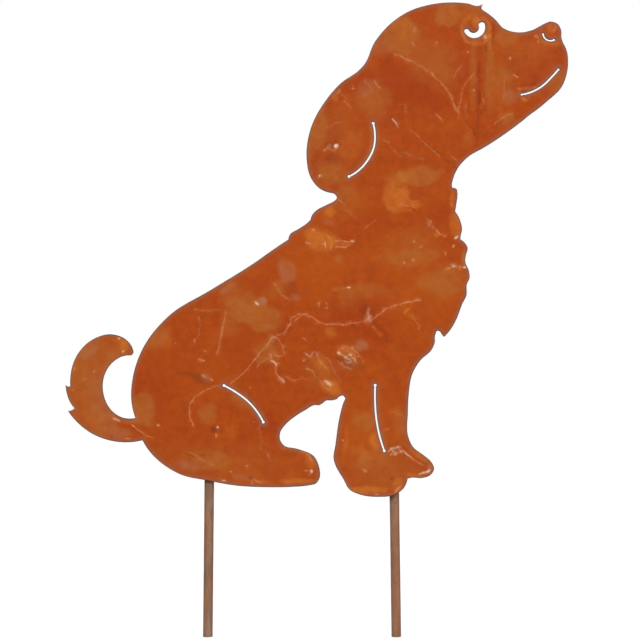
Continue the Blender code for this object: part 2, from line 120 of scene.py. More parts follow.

# Soft patches and spots of the front: tint, column, row, half width, half height, turn in degrees, softness
# and strength, with sizes in pixels of the photograph
# The brown patches stand for brown rust and for painted reflections of the lights in the lacquer, and some
# bright spots are painted highlights.
PATCHES = (
    # Head
    ("deep", 408, 84, 28, 19, 35, 0.80, 0.55),
    ("deep", 478, 131, 9, 13, 0, 0.60, 0.70),
    ("brown", 506, 119, 12, 7, -38, 0.50, 0.65),
    ("brown", 468, 138, 6, 9, 20, 0.60, 0.45),
    ("brown", 522, 54, 30, 26, 0, 0.90, 0.28),
    ("brown", 447, 16, 15, 12, 4, 0.25, 0.75),
    ("brown", 468, 12, 14, 9, 0, 0.70, 0.45),
    ("brown", 400, 37, 22, 19, -40, 0.35, 0.65),
    ("brown", 428, 58, 36, 22, 35, 0.80, 0.45),
    ("brown", 558, 82, 9, 15, 25, 0.70, 0.45),
    ("orange", 403, 30, 12, 9, -40, 0.80, 0.30),
    ("mauve", 383, 47, 9, 10, -30, 0.60, 0.35),
    ("pale", 415, 29.5, 1.8, 4.0, 20, 0.60, 0.40),
    ("pale", 413.5, 44, 1.2, 3.0, -25, 0.60, 0.45),
    ("brown", 509, 37, 15, 8, -10, 0.60, 0.55),
    ("brown", 502, 84, 10, 22, 8, 0.60, 0.50),
    ("brown", 473, 74, 4, 38, 0, 0.50, 0.50),
    ("brown", 489, 78, 5, 36, 0, 0.50, 0.55),
    ("brown", 443, 72, 12, 9, 40, 0.60, 0.40),
    ("brown", 375, 103, 17, 19, 25, 0.55, 0.60),
    ("mauve", 367, 88, 9, 8, 30, 0.60, 0.45),
    ("mauve", 510, 97, 8, 9, 0, 0.60, 0.50),
    ("orange", 476, 22, 4, 5, 0, 0.50, 0.80),
    ("orange", 551, 29, 5, 5, 0, 0.60, 0.65),
    ("orange", 524, 99, 4, 2, 10, 0.50, 0.80),
    ("orange", 487, 37, 4, 4, 0, 0.50, 0.60),
    ("deep", 517, 66, 16, 9, 30, 0.70, 0.45),
    ("deep", 437, 60, 13, 10, 20, 0.70, 0.35),
    ("deep", 480, 92, 7, 20, 0, 0.60, 0.45),
    ("pale", 510, 58, 1.5, 1.9, 0, 0.50, 0.70),
    ("pale", 516, 76, 3.4, 1.0, 30, 0.50, 0.70),
    ("pale", 437, 42, 1.0, 1.0, 0, 0.50, 0.60),
    ("pale", 468, 52, 1.3, 1.3, 0, 0.50, 0.55),
    ("pale", 474, 90, 1.6, 1.0, 30, 0.50, 0.65),
    ("pale", 536, 36, 2.2, 2.0, 0, 0.50, 0.45),
    ("pale", 538, 42, 1.0, 1.6, 0, 0.50, 0.65),
    ("bright", 485, 37, 1.4, 1.6, 0, 0.50, 0.35),
    ("dark", 480, 96, 2.0, 6.0, 0, 0.60, 0.45),
    ("dark", 486, 48, 1.1, 4.0, 0, 0.50, 0.60),
    # Ear
    ("brown", 330, 135, 26, 55, 10, 0.90, 0.28),
    ("brown", 317, 132, 9, 27, 12, 0.50, 0.70),
    ("brown", 331, 172, 17, 13, 5, 0.50, 0.70),
    ("brown", 347, 192, 10, 7, 0, 0.60, 0.50),
    ("orange", 351, 146, 12, 17, 12, 0.60, 0.28),
    ("orange", 335, 97, 5, 5, -30, 0.60, 0.55),
    ("deep", 362, 160, 9, 12, 30, 0.60, 0.40),
    ("dark", 330.6, 160, 7, 6, 0, 0.70, 0.35),
    ("dark", 332.5, 144.5, 2.6, 2.4, 0, 0.50, 0.50),
    ("bright", 335.8, 145.4, 2.6, 1.8, -35, 0.50, 1.00),
    ("mauve", 329.5, 145.6, 4.4, 2.4, -25, 0.50, 0.80),
    ("pale", 324.7, 150.2, 1.4, 1.2, 0, 0.50, 0.70),
    ("bright", 319.4, 175.8, 0.9, 1.2, 0, 0.50, 0.60),
    ("pale", 353, 88.6, 1.1, 1.0, 0, 0.50, 0.70),
    ("pale", 338.7, 91.6, 1.6, 4.0, 30, 0.60, 0.55),
    # Neck and back
    ("light", 352, 205, 24, 14, -20, 0.90, 0.45),
    ("brown", 345, 200, 24, 14, -20, 0.90, 0.28),
    ("brown", 416, 177, 26, 10.5, -2, 0.20, 0.75),
    ("brown", 398, 181, 14, 9, 0, 0.50, 0.40),
    ("orange", 396, 197, 15, 14, 10, 0.35, 0.80),
    ("orange", 399, 181, 15, 13, 0, 0.70, 0.45),
    ("orange", 321, 241, 18, 10.5, 14, 0.40, 0.90),
    ("orange", 346, 244, 9, 3.5, 0, 0.50, 0.65),
    ("orange", 329, 212, 6.5, 6, 0, 0.50, 0.85),
    ("orange", 452, 198, 2.6, 11, 3, 0.50, 0.90),
    ("orange", 416, 204, 9, 4, 5, 0.60, 0.60),
    ("mauve", 286, 270, 8, 12, -30, 0.45, 0.75),
    ("mauve", 329, 222, 7, 4, 30, 0.60, 0.40),
    ("mauve", 227, 289, 11, 4, -35, 0.60, 0.60),
    ("mauve", 295, 297, 6, 4, 20, 0.60, 0.50),
    ("deep", 365, 219, 22, 12, 0, 0.70, 0.40),
    ("deep", 437, 211, 14, 16, 0, 0.50, 0.60),
    ("deep", 262, 284, 8, 16, -35, 0.60, 0.50),
    ("light", 325, 268, 48, 34, 20, 0.90, 0.75),
    ("light", 395, 262, 40, 26, 0, 0.90, 0.50),
    ("dark", 292, 289, 8, 8, 20, 0.60, 0.28),
    ("pale", 313.5, 229.8, 2.0, 1.0, 25, 0.50, 0.60),
    ("pale", 307.4, 242.9, 3.2, 1.4, 20, 0.50, 0.55),
    ("bright", 352.4, 241, 2.0, 1.2, 20, 0.50, 0.45),
    # Chest
    ("light", 428, 300, 34, 40, 0, 0.90, 0.55),
    ("brown", 410, 258, 26, 10, -4, 0.50, 0.60),
    ("brown", 414, 242, 28, 14, 0, 0.80, 0.40),
    ("brown", 441, 281, 22, 16, 12, 0.50, 0.70),
    ("brown", 339, 259, 6, 5, 0, 0.60, 0.55),
    ("orange", 455, 226, 5, 13, -10, 0.50, 0.60),
    ("orange", 437, 235, 3.5, 3.0, 0, 0.60, 0.70),
    ("orange", 414, 317, 8, 3.5, 20, 0.60, 0.50),
    ("mauve", 466, 258, 4, 9, 0, 0.50, 0.65),
    ("mauve", 429.5, 223, 4, 3, 30, 0.60, 0.50),
    ("bright", 456, 237.8, 3.0, 1.1, -35, 0.50, 0.65),
    ("pale", 453.6, 246, 1.3, 1.9, 20, 0.50, 0.80),
    ("pale", 445.4, 254, 1.0, 2.6, 10, 0.50, 0.60),
    ("bright", 454.0, 266.4, 1.3, 1.2, 0, 0.50, 0.50),
    ("pale", 448.5, 268.5, 1.1, 0.9, 0, 0.50, 0.60),
    ("bright", 464.4, 267.3, 1.6, 1.0, 0, 0.50, 0.60),
    ("pale", 460.4, 266.6, 1.6, 1.2, 0, 0.50, 0.60),
    ("pale", 413.3, 260.0, 1.0, 1.8, 0, 0.50, 0.60),
    ("pale", 404.2, 262.8, 1.8, 1.9, 0, 0.60, 0.60),
    ("pale", 420, 300.2, 1.9, 0.9, -10, 0.50, 0.85),
    ("pale", 414, 242.0, 1.2, 1.0, 0, 0.50, 0.60),
    ("pale", 421.5, 246.0, 1.2, 0.8, 0, 0.50, 0.50),
    # Flank and thigh
    ("brown", 257, 315, 28, 14, 22, 0.30, 0.75),
    ("brown", 238, 298, 22, 14, 30, 0.70, 0.55),
    ("brown", 231, 322, 9, 16, 10, 0.70, 0.40),
    ("brown", 272, 292, 16, 9, -35, 0.60, 0.35),
    ("brown", 322, 372, 18, 18, 40, 0.80, 0.40),
    ("light", 218, 372, 34, 26, -30, 0.90, 0.30),
    ("brown", 362, 292, 34, 9, -3, 0.50, 0.45),
    ("brown", 348, 302, 12, 8, 0, 0.60, 0.35),
    ("brown", 266, 353, 11, 12, 35, 0.50, 0.65),
    ("brown", 240, 401, 12, 7, 25, 0.50, 0.50),
    ("orange", 331, 332.5, 6, 7, -20, 0.50, 0.75),
    ("orange", 346, 352, 11, 7, 15, 0.50, 0.75),
    ("orange", 354, 361, 5, 4, 0, 0.60, 0.60),
    ("pale", 352, 348, 1.6, 1.2, 0, 0.50, 0.60),
    ("pale", 358, 356.6, 1.3, 1.0, 0, 0.50, 0.60),
    ("orange", 331, 387, 11, 6, 30, 0.50, 0.85),
    ("orange", 322, 366, 10, 6, 50, 0.60, 0.55),
    ("orange", 407, 310, 3.5, 2.2, -50, 0.60, 0.60),
    ("mauve", 263, 301.5, 5.5, 4.2, -20, 0.40, 1.00),
    ("mauve", 362, 345, 7, 5, 20, 0.50, 0.75),
    ("mauve", 347, 364, 10, 6, 10, 0.60, 0.60),
    ("mauve", 355, 349, 6, 4, 30, 0.60, 0.60),
    ("dark", 339, 359, 4, 3, 0, 0.70, 0.40),
    ("bright", 350.4, 354.6, 1.6, 1.1, 20, 0.50, 0.60),
    ("bright", 345.6, 357.4, 1.2, 0.9, 0, 0.50, 0.50),
    ("mauve", 271.5, 338, 3.5, 4.0, 0, 0.50, 0.70),
    ("deep", 235, 343, 22, 14, -25, 0.70, 0.50),
    ("deep", 255, 372, 16, 12, -30, 0.70, 0.45),
    ("deep", 160, 398, 13, 22, 0, 0.60, 0.45),
    ("deep", 384, 336, 9, 9, -30, 0.60, 0.50),
    ("dark", 200, 378.5, 10, 5.5, 25, 0.70, 0.50),
    ("mauve", 206, 378, 7, 4.0, 30, 0.50, 0.70),
    ("dark", 186, 374, 9, 2.2, 15, 0.70, 0.30),
    ("dark", 350, 363, 12, 8, 15, 0.70, 0.32),
    ("dark", 366, 309, 8, 6, 0, 0.70, 0.32),
    ("dark", 336, 294, 3.5, 1.2, 20, 0.50, 0.45),
    ("bright", 348.6, 287.4, 2.6, 0.9, -5, 0.50, 0.60),
    ("mauve", 368.0, 319, 4.2, 6.0, 0, 0.60, 0.75),
    ("bright", 256.6, 303.0, 1.2, 3.0, -50, 0.50, 0.55),
    ("bright", 327.6, 382.8, 4.0, 1.8, 35, 0.60, 0.55),
    ("bright", 338.6, 352.8, 2.0, 1.4, 0, 0.50, 0.45),
    ("pale", 303.6, 360.6, 1.3, 1.2, 0, 0.50, 0.60),
    ("pale", 309.0, 369.6, 3.6, 1.2, 15, 0.60, 0.55),
    ("pale", 327.0, 307.8, 1.0, 1.0, 0, 0.50, 0.50),
    ("pale", 319.0, 303.2, 1.0, 1.0, 0, 0.50, 0.60),
    ("pale", 326.6, 303.4, 0.9, 1.6, 0, 0.50, 0.50),
    ("pale", 304.6, 338.9, 1.0, 0.9, 0, 0.50, 0.60),
    ("pale", 199.4, 316.6, 0.8, 0.8, 0, 0.50, 0.60),
    ("pale", 194.3, 340.4, 1.1, 1.8, 0, 0.50, 0.75),
    ("pale", 175.4, 343.0, 1.0, 0.9, 0, 0.50, 0.60),
    ("pale", 205.0, 351.0, 2.6, 0.8, 30, 0.50, 0.55),
    ("pale", 201.6, 360.0, 3.4, 1.2, 15, 0.60, 0.80),
    ("pale", 204.5, 376.5, 3.6, 1.4, 35, 0.60, 0.75),
    ("pale", 211.4, 379.6, 1.8, 0.9, 30, 0.50, 0.80),
    ("pale", 253.5, 422.0, 1.1, 1.1, 0, 0.50, 0.40),
    ("pale", 249.8, 387.5, 1.2, 1.2, 0, 0.50, 0.40),
    # Haunch, hind foot and tail
    ("brown", 207, 414, 10, 11, 0, 0.35, 0.65),
    ("brown", 144, 410, 12.5, 18, -5, 0.25, 0.75),
    ("brown", 157, 339, 14, 8, -40, 0.60, 0.75),
    ("brown", 92, 385, 30, 52, 0, 0.90, 0.50),
    ("mauve", 104, 388, 12, 34, 0, 0.80, 0.30),
    ("brown", 235, 464, 72, 22, 5, 0.90, 0.28),
    ("brown", 211, 460, 25, 11, 5, 0.35, 0.65),
    ("brown", 118, 357, 11, 20, 20, 0.60, 0.60),
    ("brown", 104, 420, 12, 9, 30, 0.50, 0.60),
    ("brown", 92, 400, 8, 12, 0, 0.60, 0.30),
    ("mauve", 189, 466, 13, 6, 12, 0.60, 0.60),
    ("mauve", 118, 433, 16, 5, 3, 0.60, 0.50),
    ("mauve", 90, 350, 9, 10, 30, 0.60, 0.60),
    ("brown", 100, 352, 22, 13, 20, 0.60, 0.65),
    ("brown", 84, 372, 14, 22, 0, 0.70, 0.50),
    ("brown", 100, 420, 22, 11, 35, 0.50, 0.45),
    ("mauve", 240, 477, 12, 3.5, 8, 0.60, 0.40),
    ("orange", 123.5, 347, 4, 7, 0, 0.60, 0.90),
    ("orange", 119, 341, 6, 2.0, 10, 0.60, 0.50),
    ("orange", 310, 462, 5, 8, -20, 0.60, 0.60),
    ("orange", 296, 481, 22, 3.0, -2, 0.60, 0.75),
    ("orange", 262, 482, 12, 2.0, 3, 0.60, 0.50),
    ("orange", 166, 343, 8, 8, -50, 0.60, 0.40),
    ("deep", 294, 467, 14, 5, 0, 0.70, 0.35),
    ("deep", 92, 376, 7, 6, 0, 0.70, 0.30),
    ("dark", 213.6, 430.2, 3.0, 4.6, -10, 0.60, 0.75),
    ("dark", 250.6, 478.0, 2.6, 1.8, 0, 0.60, 0.50),
    ("dark", 202, 455, 3.0, 1.4, 0, 0.60, 0.35),
    ("bright", 217.6, 427.2, 1.4, 1.4, 0, 0.50, 0.60),
    ("pale", 216.0, 435.8, 1.1, 3.2, -3, 0.50, 0.70),
    ("pale", 231.0, 471.6, 1.5, 1.1, 20, 0.50, 0.70),
    ("pale", 246.8, 465.9, 1.1, 0.9, 0, 0.50, 0.60),
    ("bright", 223.6, 480.5, 2.8, 0.8, 2, 0.50, 0.55),
    ("bright", 311.4, 471.6, 1.5, 2.0, -10, 0.60, 0.60),
    ("pale", 306.0, 470.6, 2.4, 0.9, 0, 0.60, 0.60),
    ("bright", 117.0, 419.8, 3.4, 1.2, 22, 0.60, 0.50),
    ("bright", 123.0, 351.5, 1.3, 1.0, 0, 0.50, 0.60),
    ("bright", 118.8, 338.6, 1.5, 0.8, 20, 0.50, 0.50),
    ("pale", 133.0, 425.6, 2.6, 0.9, 35, 0.50, 0.80),
    ("pale", 158.0, 425.2, 1.5, 1.2, 30, 0.50, 0.75),
    ("pale", 127.5, 438.4, 3.4, 0.8, 3, 0.50, 0.70),
    ("pale", 84.5, 379.5, 2.2, 1.0, -20, 0.60, 0.40),
    ("pale", 72.6, 390.0, 1.0, 1.8, 0, 0.50, 0.55),
    ("pale", 74.5, 369.0, 1.4, 2.4, 20, 0.60, 0.45),
    ("pale", 94.0, 371.4, 1.3, 0.8, 0, 0.50, 0.50),
    # Foreleg and paw
    ("light", 366, 432, 34, 44, 0, 0.90, 0.75),
    ("brown", 392, 470, 46, 26, 0, 0.90, 0.42),
    ("brown", 364, 423, 11, 10, 0, 0.35, 0.65),
    ("brown", 366, 462, 9, 8, 0, 0.45, 0.60),
    ("brown", 399, 420, 6, 18, 0, 0.60, 0.55),
    ("brown", 384, 460, 8, 7, 10, 0.60, 0.50),
    ("orange", 374, 441, 4.5, 10, -12, 0.60, 0.90),
    ("orange", 361, 452, 12, 6, 30, 0.70, 0.40),
    ("orange", 366, 490, 18, 3.6, 0, 0.60, 0.80),
    ("orange", 398, 484, 4.5, 7, 20, 0.60, 0.60),
    ("orange", 418, 455, 12, 3.6, 38, 0.60, 0.65),
    ("orange", 413, 475, 10, 2.4, 10, 0.60, 0.60),
    ("orange", 346, 440, 3, 16, 5, 0.60, 0.45),
    ("orange", 396, 411, 3, 5, 0, 0.60, 0.40),
    ("mauve", 395, 450.5, 8, 5, 10, 0.50, 0.70),
    ("mauve", 429.8, 466.6, 3.4, 2.4, 0, 0.60, 0.90),
    ("deep", 362, 474, 14, 8, 8, 0.60, 0.55),
    ("deep", 411, 465, 12, 4.5, 20, 0.60, 0.55),
    ("dark", 391.8, 478.4, 1.8, 1.7, 0, 0.60, 0.60),
    # Painted highlight: a white-ish glint on the lacquer over the paw
    ("bright", 424.6, 472.6, 5.2, 1.2, -14, 0.60, 0.62),
    ("bright", 429.0, 470.6, 2.2, 1.2, -30, 0.60, 0.60),
    ("pale", 397.5, 489.2, 4.2, 1.4, -45, 0.60, 0.80),
    ("pale", 364.8, 470.8, 3.0, 1.6, 30, 0.60, 0.55),
    ("pale", 376.5, 494.4, 2.4, 0.8, 0, 0.50, 0.60),
    ("pale", 342.5, 440.3, 1.3, 1.3, 0, 0.50, 0.70),
    ("pale", 386.6, 428.8, 1.1, 0.9, 0, 0.50, 0.50),
)

# Scratches and lines of the front: tint, half width, strength and route, in pixels of the photograph
STROKES = (
    # The long scratch over haunch, flank and chest
    ("pale", 0.75, 0.75, (
        (193, 425), (189.7, 416.7), (189, 409), (191.3, 401.5), (197.3, 395.3), (205.5, 390.2),
        (218, 385.2),
    )),
    ("pale", 0.70, 0.85, (
        (230, 383), (234, 381), (243.3, 373), (251.4, 363.7), (259.6, 353.5), (268.8, 342.2),
        (271.8, 337.5),
    )),
    ("pale", 0.70, 0.80, (
        (271.8, 337.5), (279, 335), (285, 331), (290.2, 324), (292.4, 317.8), (297.3, 314.7),
        (306.5, 314.2),
    )),
    ("pale", 0.70, 0.90, (
        (306.5, 314.2), (315.7, 319.3), (325, 324), (332, 324.6), (345.5, 324), (364, 321.2),
    )),
    ("pale", 0.80, 0.85, (
        (371, 319.5), (374, 318), (381.2, 312.3), (391.4, 306.7), (401.6, 303.2), (412, 301.6),
        (419, 300.1),
    )),
    ("pale", 0.80, 0.65, ((296, 320), (299.5, 317), (305, 313.8))),
    # Its branches by the flank
    ("pale", 0.65, 0.70, (
        (274, 336), (277.5, 338.5), (280.5, 342.3), (282.8, 348.5), (283.6, 355), (278, 356),
        (274.5, 355.2),
    )),
    ("pale", 0.90, 0.75, (
        (270.6, 354.5), (271.6, 359.6), (275, 362.5), (276.6, 366), (275.4, 369.5), (276.4, 373),
        (279, 376.6),
    )),
    ("bright", 0.85, 0.80, ((279.3, 377), (281.5, 378.8), (284, 381.2))),
    ("bright", 0.60, 0.45, ((271.4, 360), (276.2, 365.2))),
    ("mauve", 1.60, 0.80, ((273, 351.5), (271, 356), (272.5, 361))),
    ("pale", 0.60, 0.45, ((257, 366), (262, 362.5), (268, 358.5), (271, 356))),
    ("pale", 0.50, 0.40, ((284, 376), (292, 379.5), (301, 379.2), (308, 379))),
    # Flank: two thin lines
    ("brown", 1.10, 0.95, ((194.3, 309.2), (202, 310.5), (211, 309.9), (220, 309.4))),
    ("pale", 1.20, 0.60, ((225.4, 312.8), (224, 322), (222, 331))),
    ("pale", 1.10, 0.50, ((222, 331), (220, 341), (218, 350), (216.8, 354.5))),
    ("pale", 0.45, 0.30, ((199.4, 323), (199.8, 331), (193.5, 343))),
    # Crooked bright lines between flank and chest
    ("bright", 0.60, 0.40, (
        (306.5, 354.5), (309.5, 356), (311.8, 355), (314, 351.8), (316.2, 352.8), (318.2, 356.4),
    )),
    ("pale", 0.75, 0.60, ((318.2, 356.4), (321, 361), (324, 364), (326, 367.5), (328.5, 371))),
    ("pale", 0.60, 0.45, ((312, 370), (315, 376), (320, 381), (326, 388), (332, 391))),
    ("pale", 0.60, 0.40, ((330, 360), (333, 368), (337, 376), (340, 382))),
    ("pale", 0.60, 0.40, ((322, 355), (327, 358), (331, 365))),
    # The mark over the long scratch
    ("bright", 1.00, 0.60, ((368.2, 309.6), (367.8, 313), (368.6, 317), (370.2, 321.4))),
    ("pale", 1.00, 0.75, ((364.4, 322), (367.6, 319.4), (371.8, 316.4))),
    ("dark", 1.30, 0.55, ((363.4, 309), (362.6, 314), (362.8, 318.6))),
    ("dark", 1.30, 0.50, ((373.2, 310.6), (374, 316), (373.4, 323))),
    # The bright rough patch at the middle
    ("bright", 0.70, 0.35, ((337.8, 353), (342.5, 354.6), (346.5, 358), (351, 359.8))),
    ("pale", 0.80, 0.70, ((349, 352), (352.6, 353.4), (355, 357))),
    ("bright", 0.70, 0.50, ((352, 357.6), (354.6, 359.2), (355.4, 362))),
    ("pale", 0.70, 0.60, ((340, 350), (343.4, 348.2), (347.4, 350.4))),
    ("bright", 0.70, 0.45, ((345.6, 361), (348.6, 362.4), (351.4, 361.6))),
    ("dark", 0.80, 0.45, ((350.4, 350), (353.4, 350.8), (357, 352.6))),
    ("dark", 0.80, 0.45, ((343, 361.6), (346.4, 365), (351, 367))),
    ("pale", 0.70, 0.60, ((346, 346), (351.6, 349.2), (357.5, 353.6), (362.6, 362))),
    ("pale", 0.70, 0.50, ((338, 361), (343, 365.5), (350, 369))),
    ("orange", 1.40, 0.80, ((372.7, 326.5), (376.5, 330.5), (380.8, 335.7))),
    ("dark", 1.00, 0.45, ((376, 325), (381, 328.5), (385.5, 334.5), (386.5, 341))),
    # Lines over the head
    ("pale", 0.90, 0.55, (
        (396, 54.4), (401, 56.4), (407, 59.4), (413, 62.2), (420.4, 66.1), (432.7, 74.3), (443, 84.5),
        (450, 95.7), (454, 105), (458.2, 113),
    )),
    ("brown", 1.00, 0.80, ((433, 75.5), (441.5, 83.3), (449.4, 91.8), (454.5, 106), (461, 118), (472, 131))),
    ("pale", 0.70, 0.45, ((473.9, 73.5), (467, 81), (461.8, 91.8), (460.6, 102), (459, 112))),
    ("pale", 0.80, 0.50, ((460.6, 66.3), (457, 70.5), (454.5, 76))),
    ("pale", 0.80, 0.65, ((435.7, 113.4), (439, 116.6), (441.8, 120.4))),
    ("dark", 0.90, 0.60, ((391, 118), (393.6, 121.4), (396.4, 126))),
    ("bright", 0.75, 0.55, ((393, 118.8), (395.6, 122.4), (398, 126.6))),
    ("pale", 0.70, 0.40, ((400, 104.2), (404, 104.6), (405.4, 110.8))),
    ("pale", 0.60, 0.40, ((365, 80.4), (369, 86), (372, 91.5))),
    ("pale", 0.80, 0.55, ((374.5, 81), (377, 85), (379.8, 87.4))),
    ("pale", 0.90, 0.60, ((343.4, 100.8), (346.6, 103.6), (350.4, 107.2))),
    ("orange", 1.30, 0.60, ((341.2, 94.5), (344.8, 97.4), (347.2, 101.8))),
    ("dark", 0.90, 0.40, ((425, 86), (431, 92.5), (436, 95))),
    ("pale", 0.70, 0.30, ((327, 127), (334, 123.5), (339, 122.8))),
    # The dark streak down from the eye, with its lighter sides
    ("dark", 1.60, 0.50, ((480.2, 44), (479.8, 60), (479.2, 80), (478.6, 102), (478.2, 116))),
    ("dark", 1.20, 0.30, ((478.2, 116), (477.4, 128), (478.2, 136), (477, 146))),
    ("dark", 1.10, 0.45, ((461, 118.5), (466, 123), (472, 128.5), (476, 135))),
    ("dark", 1.00, 0.40, ((483, 106), (481, 113), (478, 120))),
    ("pale", 0.90, 0.40, ((458.5, 103), (458, 110), (459, 118))),
    ("pale", 0.80, 0.35, ((466, 104), (465.4, 111), (466.4, 117))),
    ("pale", 0.90, 0.45, ((495, 123.5), (500, 119.4), (505.6, 115.8), (511.4, 113.8))),
    ("dark", 0.90, 0.40, ((493, 128), (498, 123.6), (503.4, 120.2))),
    ("pale", 0.80, 0.45, ((482, 108), (483.4, 101), (482.4, 94))),
    ("dark", 1.00, 0.40, ((493.2, 23), (493.4, 33), (492.8, 43))),
    ("dark", 0.90, 0.35, ((485.8, 56), (485.4, 66), (485, 78))),
    ("pale", 0.80, 0.45, ((490, 42), (490.8, 48))),
    ("pale", 0.60, 0.30, ((505, 80), (504, 92), (503, 98))),
    # Ear: the hook beside its bright spot
    ("pale", 0.80, 0.60, ((323.6, 150.8), (326.8, 149), (330.6, 149.2), (334, 149.4), (337.6, 147.6))),
    ("dark", 0.90, 0.45, ((325, 146.6), (328.6, 142.8), (333, 141.6), (337, 142.4))),
    # Neck
    ("orange", 1.10, 0.70, ((404, 196), (409, 199.6), (415, 201.4), (419.6, 200.4))),
    ("pale", 0.70, 0.45, ((402, 204), (408, 206.4), (413, 206.8))),
    ("orange", 1.00, 0.60, ((399, 211), (405, 209.4), (411, 210.4))),
    ("dark", 1.00, 0.45, ((427.6, 145), (436, 152), (446, 160.5), (456, 168.5))),
    ("pale", 0.70, 0.40, ((411, 130), (420, 138), (429, 147), (440, 157))),
    ("pale", 0.70, 0.45, ((449, 153), (453, 157), (457, 161))),
    ("mauve", 1.40, 0.60, ((403, 152), (410, 155), (416, 157.6), (422, 159))),
    ("pale", 0.80, 0.60, ((338, 199), (341, 201.6), (344, 204))),
    ("pale", 0.50, 0.35, ((344, 210), (351, 214.5), (357, 219.5))),
    ("pale", 0.60, 0.35, ((384, 140), (391, 146), (399, 155))),
    # Squiggles in the bright patch on the back
    ("pale", 0.80, 0.75, ((326.6, 235.2), (329.4, 237.6), (331.8, 241), (331.4, 245), (330.6, 249))),
    ("bright", 0.50, 0.35, ((324.8, 240), (326, 243.4), (325.6, 247.2))),
    ("pale", 0.80, 0.85, ((336, 241.6), (342, 240.8), (348, 241.8), (354.3, 241.2))),
    ("pale", 0.70, 0.75, ((336, 246.8), (341, 246.4), (345, 247.6), (349, 245.6))),
    ("orange", 1.80, 0.80, ((312, 230), (320, 233.5), (328, 236), (335, 241))),
    ("pale", 0.50, 0.40, ((411, 203.6), (416, 205.6), (420, 203.4))),
    ("orange", 1.10, 0.60, ((411.5, 207), (417.5, 207.6), (421.5, 205))),
    ("pale", 1.30, 0.45, ((274.7, 283.8), (279, 290), (284, 296), (289.4, 300))),
    ("pale", 0.70, 0.40, ((366, 228), (370, 224.5), (374, 221))),
    ("orange", 1.50, 0.70, ((332, 289.2), (339, 288.8), (346, 287.6), (351, 286.8))),
    # Chest
    ("pale", 0.70, 0.60, ((426.6, 218.4), (429, 220.2), (431.6, 222.4), (428.6, 225.6))),
    ("pale", 0.80, 0.65, ((433.7, 226.6), (437, 230.8), (441, 234.2), (445, 236.6))),
    ("dark", 0.80, 0.35, ((425, 224), (428, 226.4), (431, 225))),
    ("orange", 1.00, 0.75, ((410.5, 306.6), (408, 310), (405, 313.2))),
    ("pale", 0.60, 0.40, ((412, 316), (415, 321), (418, 325), (420, 328.5))),
    ("pale", 0.50, 0.35, ((428, 222), (434, 229))),
    # Tail, rump and hind leg
    ("pale", 0.60, 0.55, ((132, 424.8), (138, 429.8), (145, 434.4), (152, 437.4))),
    ("orange", 1.60, 0.50, ((112, 417), (118, 420.4), (126, 422.4), (133, 422.6))),
    ("pale", 0.50, 0.35, ((259, 424), (260.4, 434), (261.4, 444), (261.6, 451))),
    ("pale", 0.60, 0.50, ((265, 451.5), (268, 454.4), (270.6, 459))),
    ("pale", 0.70, 0.45, ((251.6, 484), (252.4, 479.6), (257, 481), (262, 482.6))),
    ("pale", 0.60, 0.35, ((190, 452), (197, 456), (206, 462), (214, 465))),
    ("dark", 0.90, 0.30, ((180, 452.6), (187, 454), (194, 456.4))),
    # Hind foot: the light rim round the toes
    ("pale", 0.90, 0.60, ((300, 448.6), (306, 451.6), (310, 456.2), (312.6, 461.5))),
    ("orange", 1.20, 0.60, ((284, 447.6), (294, 448.6), (303, 452), (310, 459))),
    # Forepaw: the rough marks of the weld behind, and the light line over the toes
    ("bright", 0.70, 0.40, ((388.6, 451.6), (391.6, 448.2), (396.4, 447.6), (401.4, 446.8))),
    ("bright", 0.60, 0.40, ((391, 447.8), (393.4, 451), (396.2, 454.6), (393.6, 455.2))),
    ("bright", 0.60, 0.45, ((397.4, 446.6), (399.6, 449.6), (402.4, 452.4))),
    ("pale", 0.80, 0.75, ((390, 455), (395, 452.6), (400.4, 451.8), (402.6, 449.2))),
    ("bright", 0.70, 0.50, ((403.6, 450.6), (406, 453.4), (409.4, 456))),
    ("pale", 0.80, 0.75, ((409.4, 456), (414.6, 460), (418.4, 462.4), (424, 464.8))),
    ("dark", 0.80, 0.50, ((388, 446.4), (391.4, 445.2), (395, 446))),
    ("dark", 0.60, 0.45, ((391.4, 450.6), (394.6, 452.6), (397.4, 449.8))),
    ("orange", 0.90, 0.50, ((400.6, 443.4), (404, 443.6), (407, 447))),
    # Above and below the left end of the mouth
    ("orange", 1.20, 0.90, ((519.6, 88.4), (527, 87.8), (536, 87.2))),
    ("dark", 0.70, 0.50, ((520.6, 85.2), (528, 84.8), (535, 84))),
    ("dark", 0.80, 0.60, ((521, 91.2), (525, 90.8), (530, 90.4))),
    ("orange", 0.80, 0.80, ((520.6, 98), (523, 100.4), (527.4, 99.6), (528.8, 97.4))),
    # Foreleg: fine light lines beside its slit
    ("orange", 1.20, 0.60, ((391, 411), (394, 413), (400, 414))),
    ("pale", 0.60, 0.40, ((412, 441), (418, 446), (426, 455))),
)

# Rings of light oxide round the eye and the nose, and a line of it beside the ear's slit: tint, half width,
# strength, centre, radius, and start and end in degrees, clockwise from the right as the photograph shows it
OXIDE_ARCS = (
    ("orange", 2.2, 0.75, (476.0, 29.4), 14.0, -62.0, 262.0),
    ("pale", 0.7, 0.30, (476.0, 29.4), 15.2, 20.0, 215.0),
    ("orange", 1.8, 0.65, (551.0, 29.6), 15.0, 60.0, 150.0),
    ("pale", 1.1, 0.50, (551.5, 27.0), 4.6, -80.0, 60.0),
    ("orange", 1.6, 0.60, (331.0, 140.0), 40.6, -18.0, 42.0),
)

# Rough spots of raised scale on the front: column, row, half width, half height, in pixels
ROUGH_SPOTS = (
    (348, 355, 14, 10),
    (395, 451, 8, 5),
    (324, 242, 12, 7),
    (276, 362, 6, 9),
    (368, 317, 5, 8),
    (204, 377, 7, 5),
    (331, 147, 6, 4),
    (216, 430, 5, 6),
    (433, 229, 8, 8),
    (325, 380, 12, 10),
)

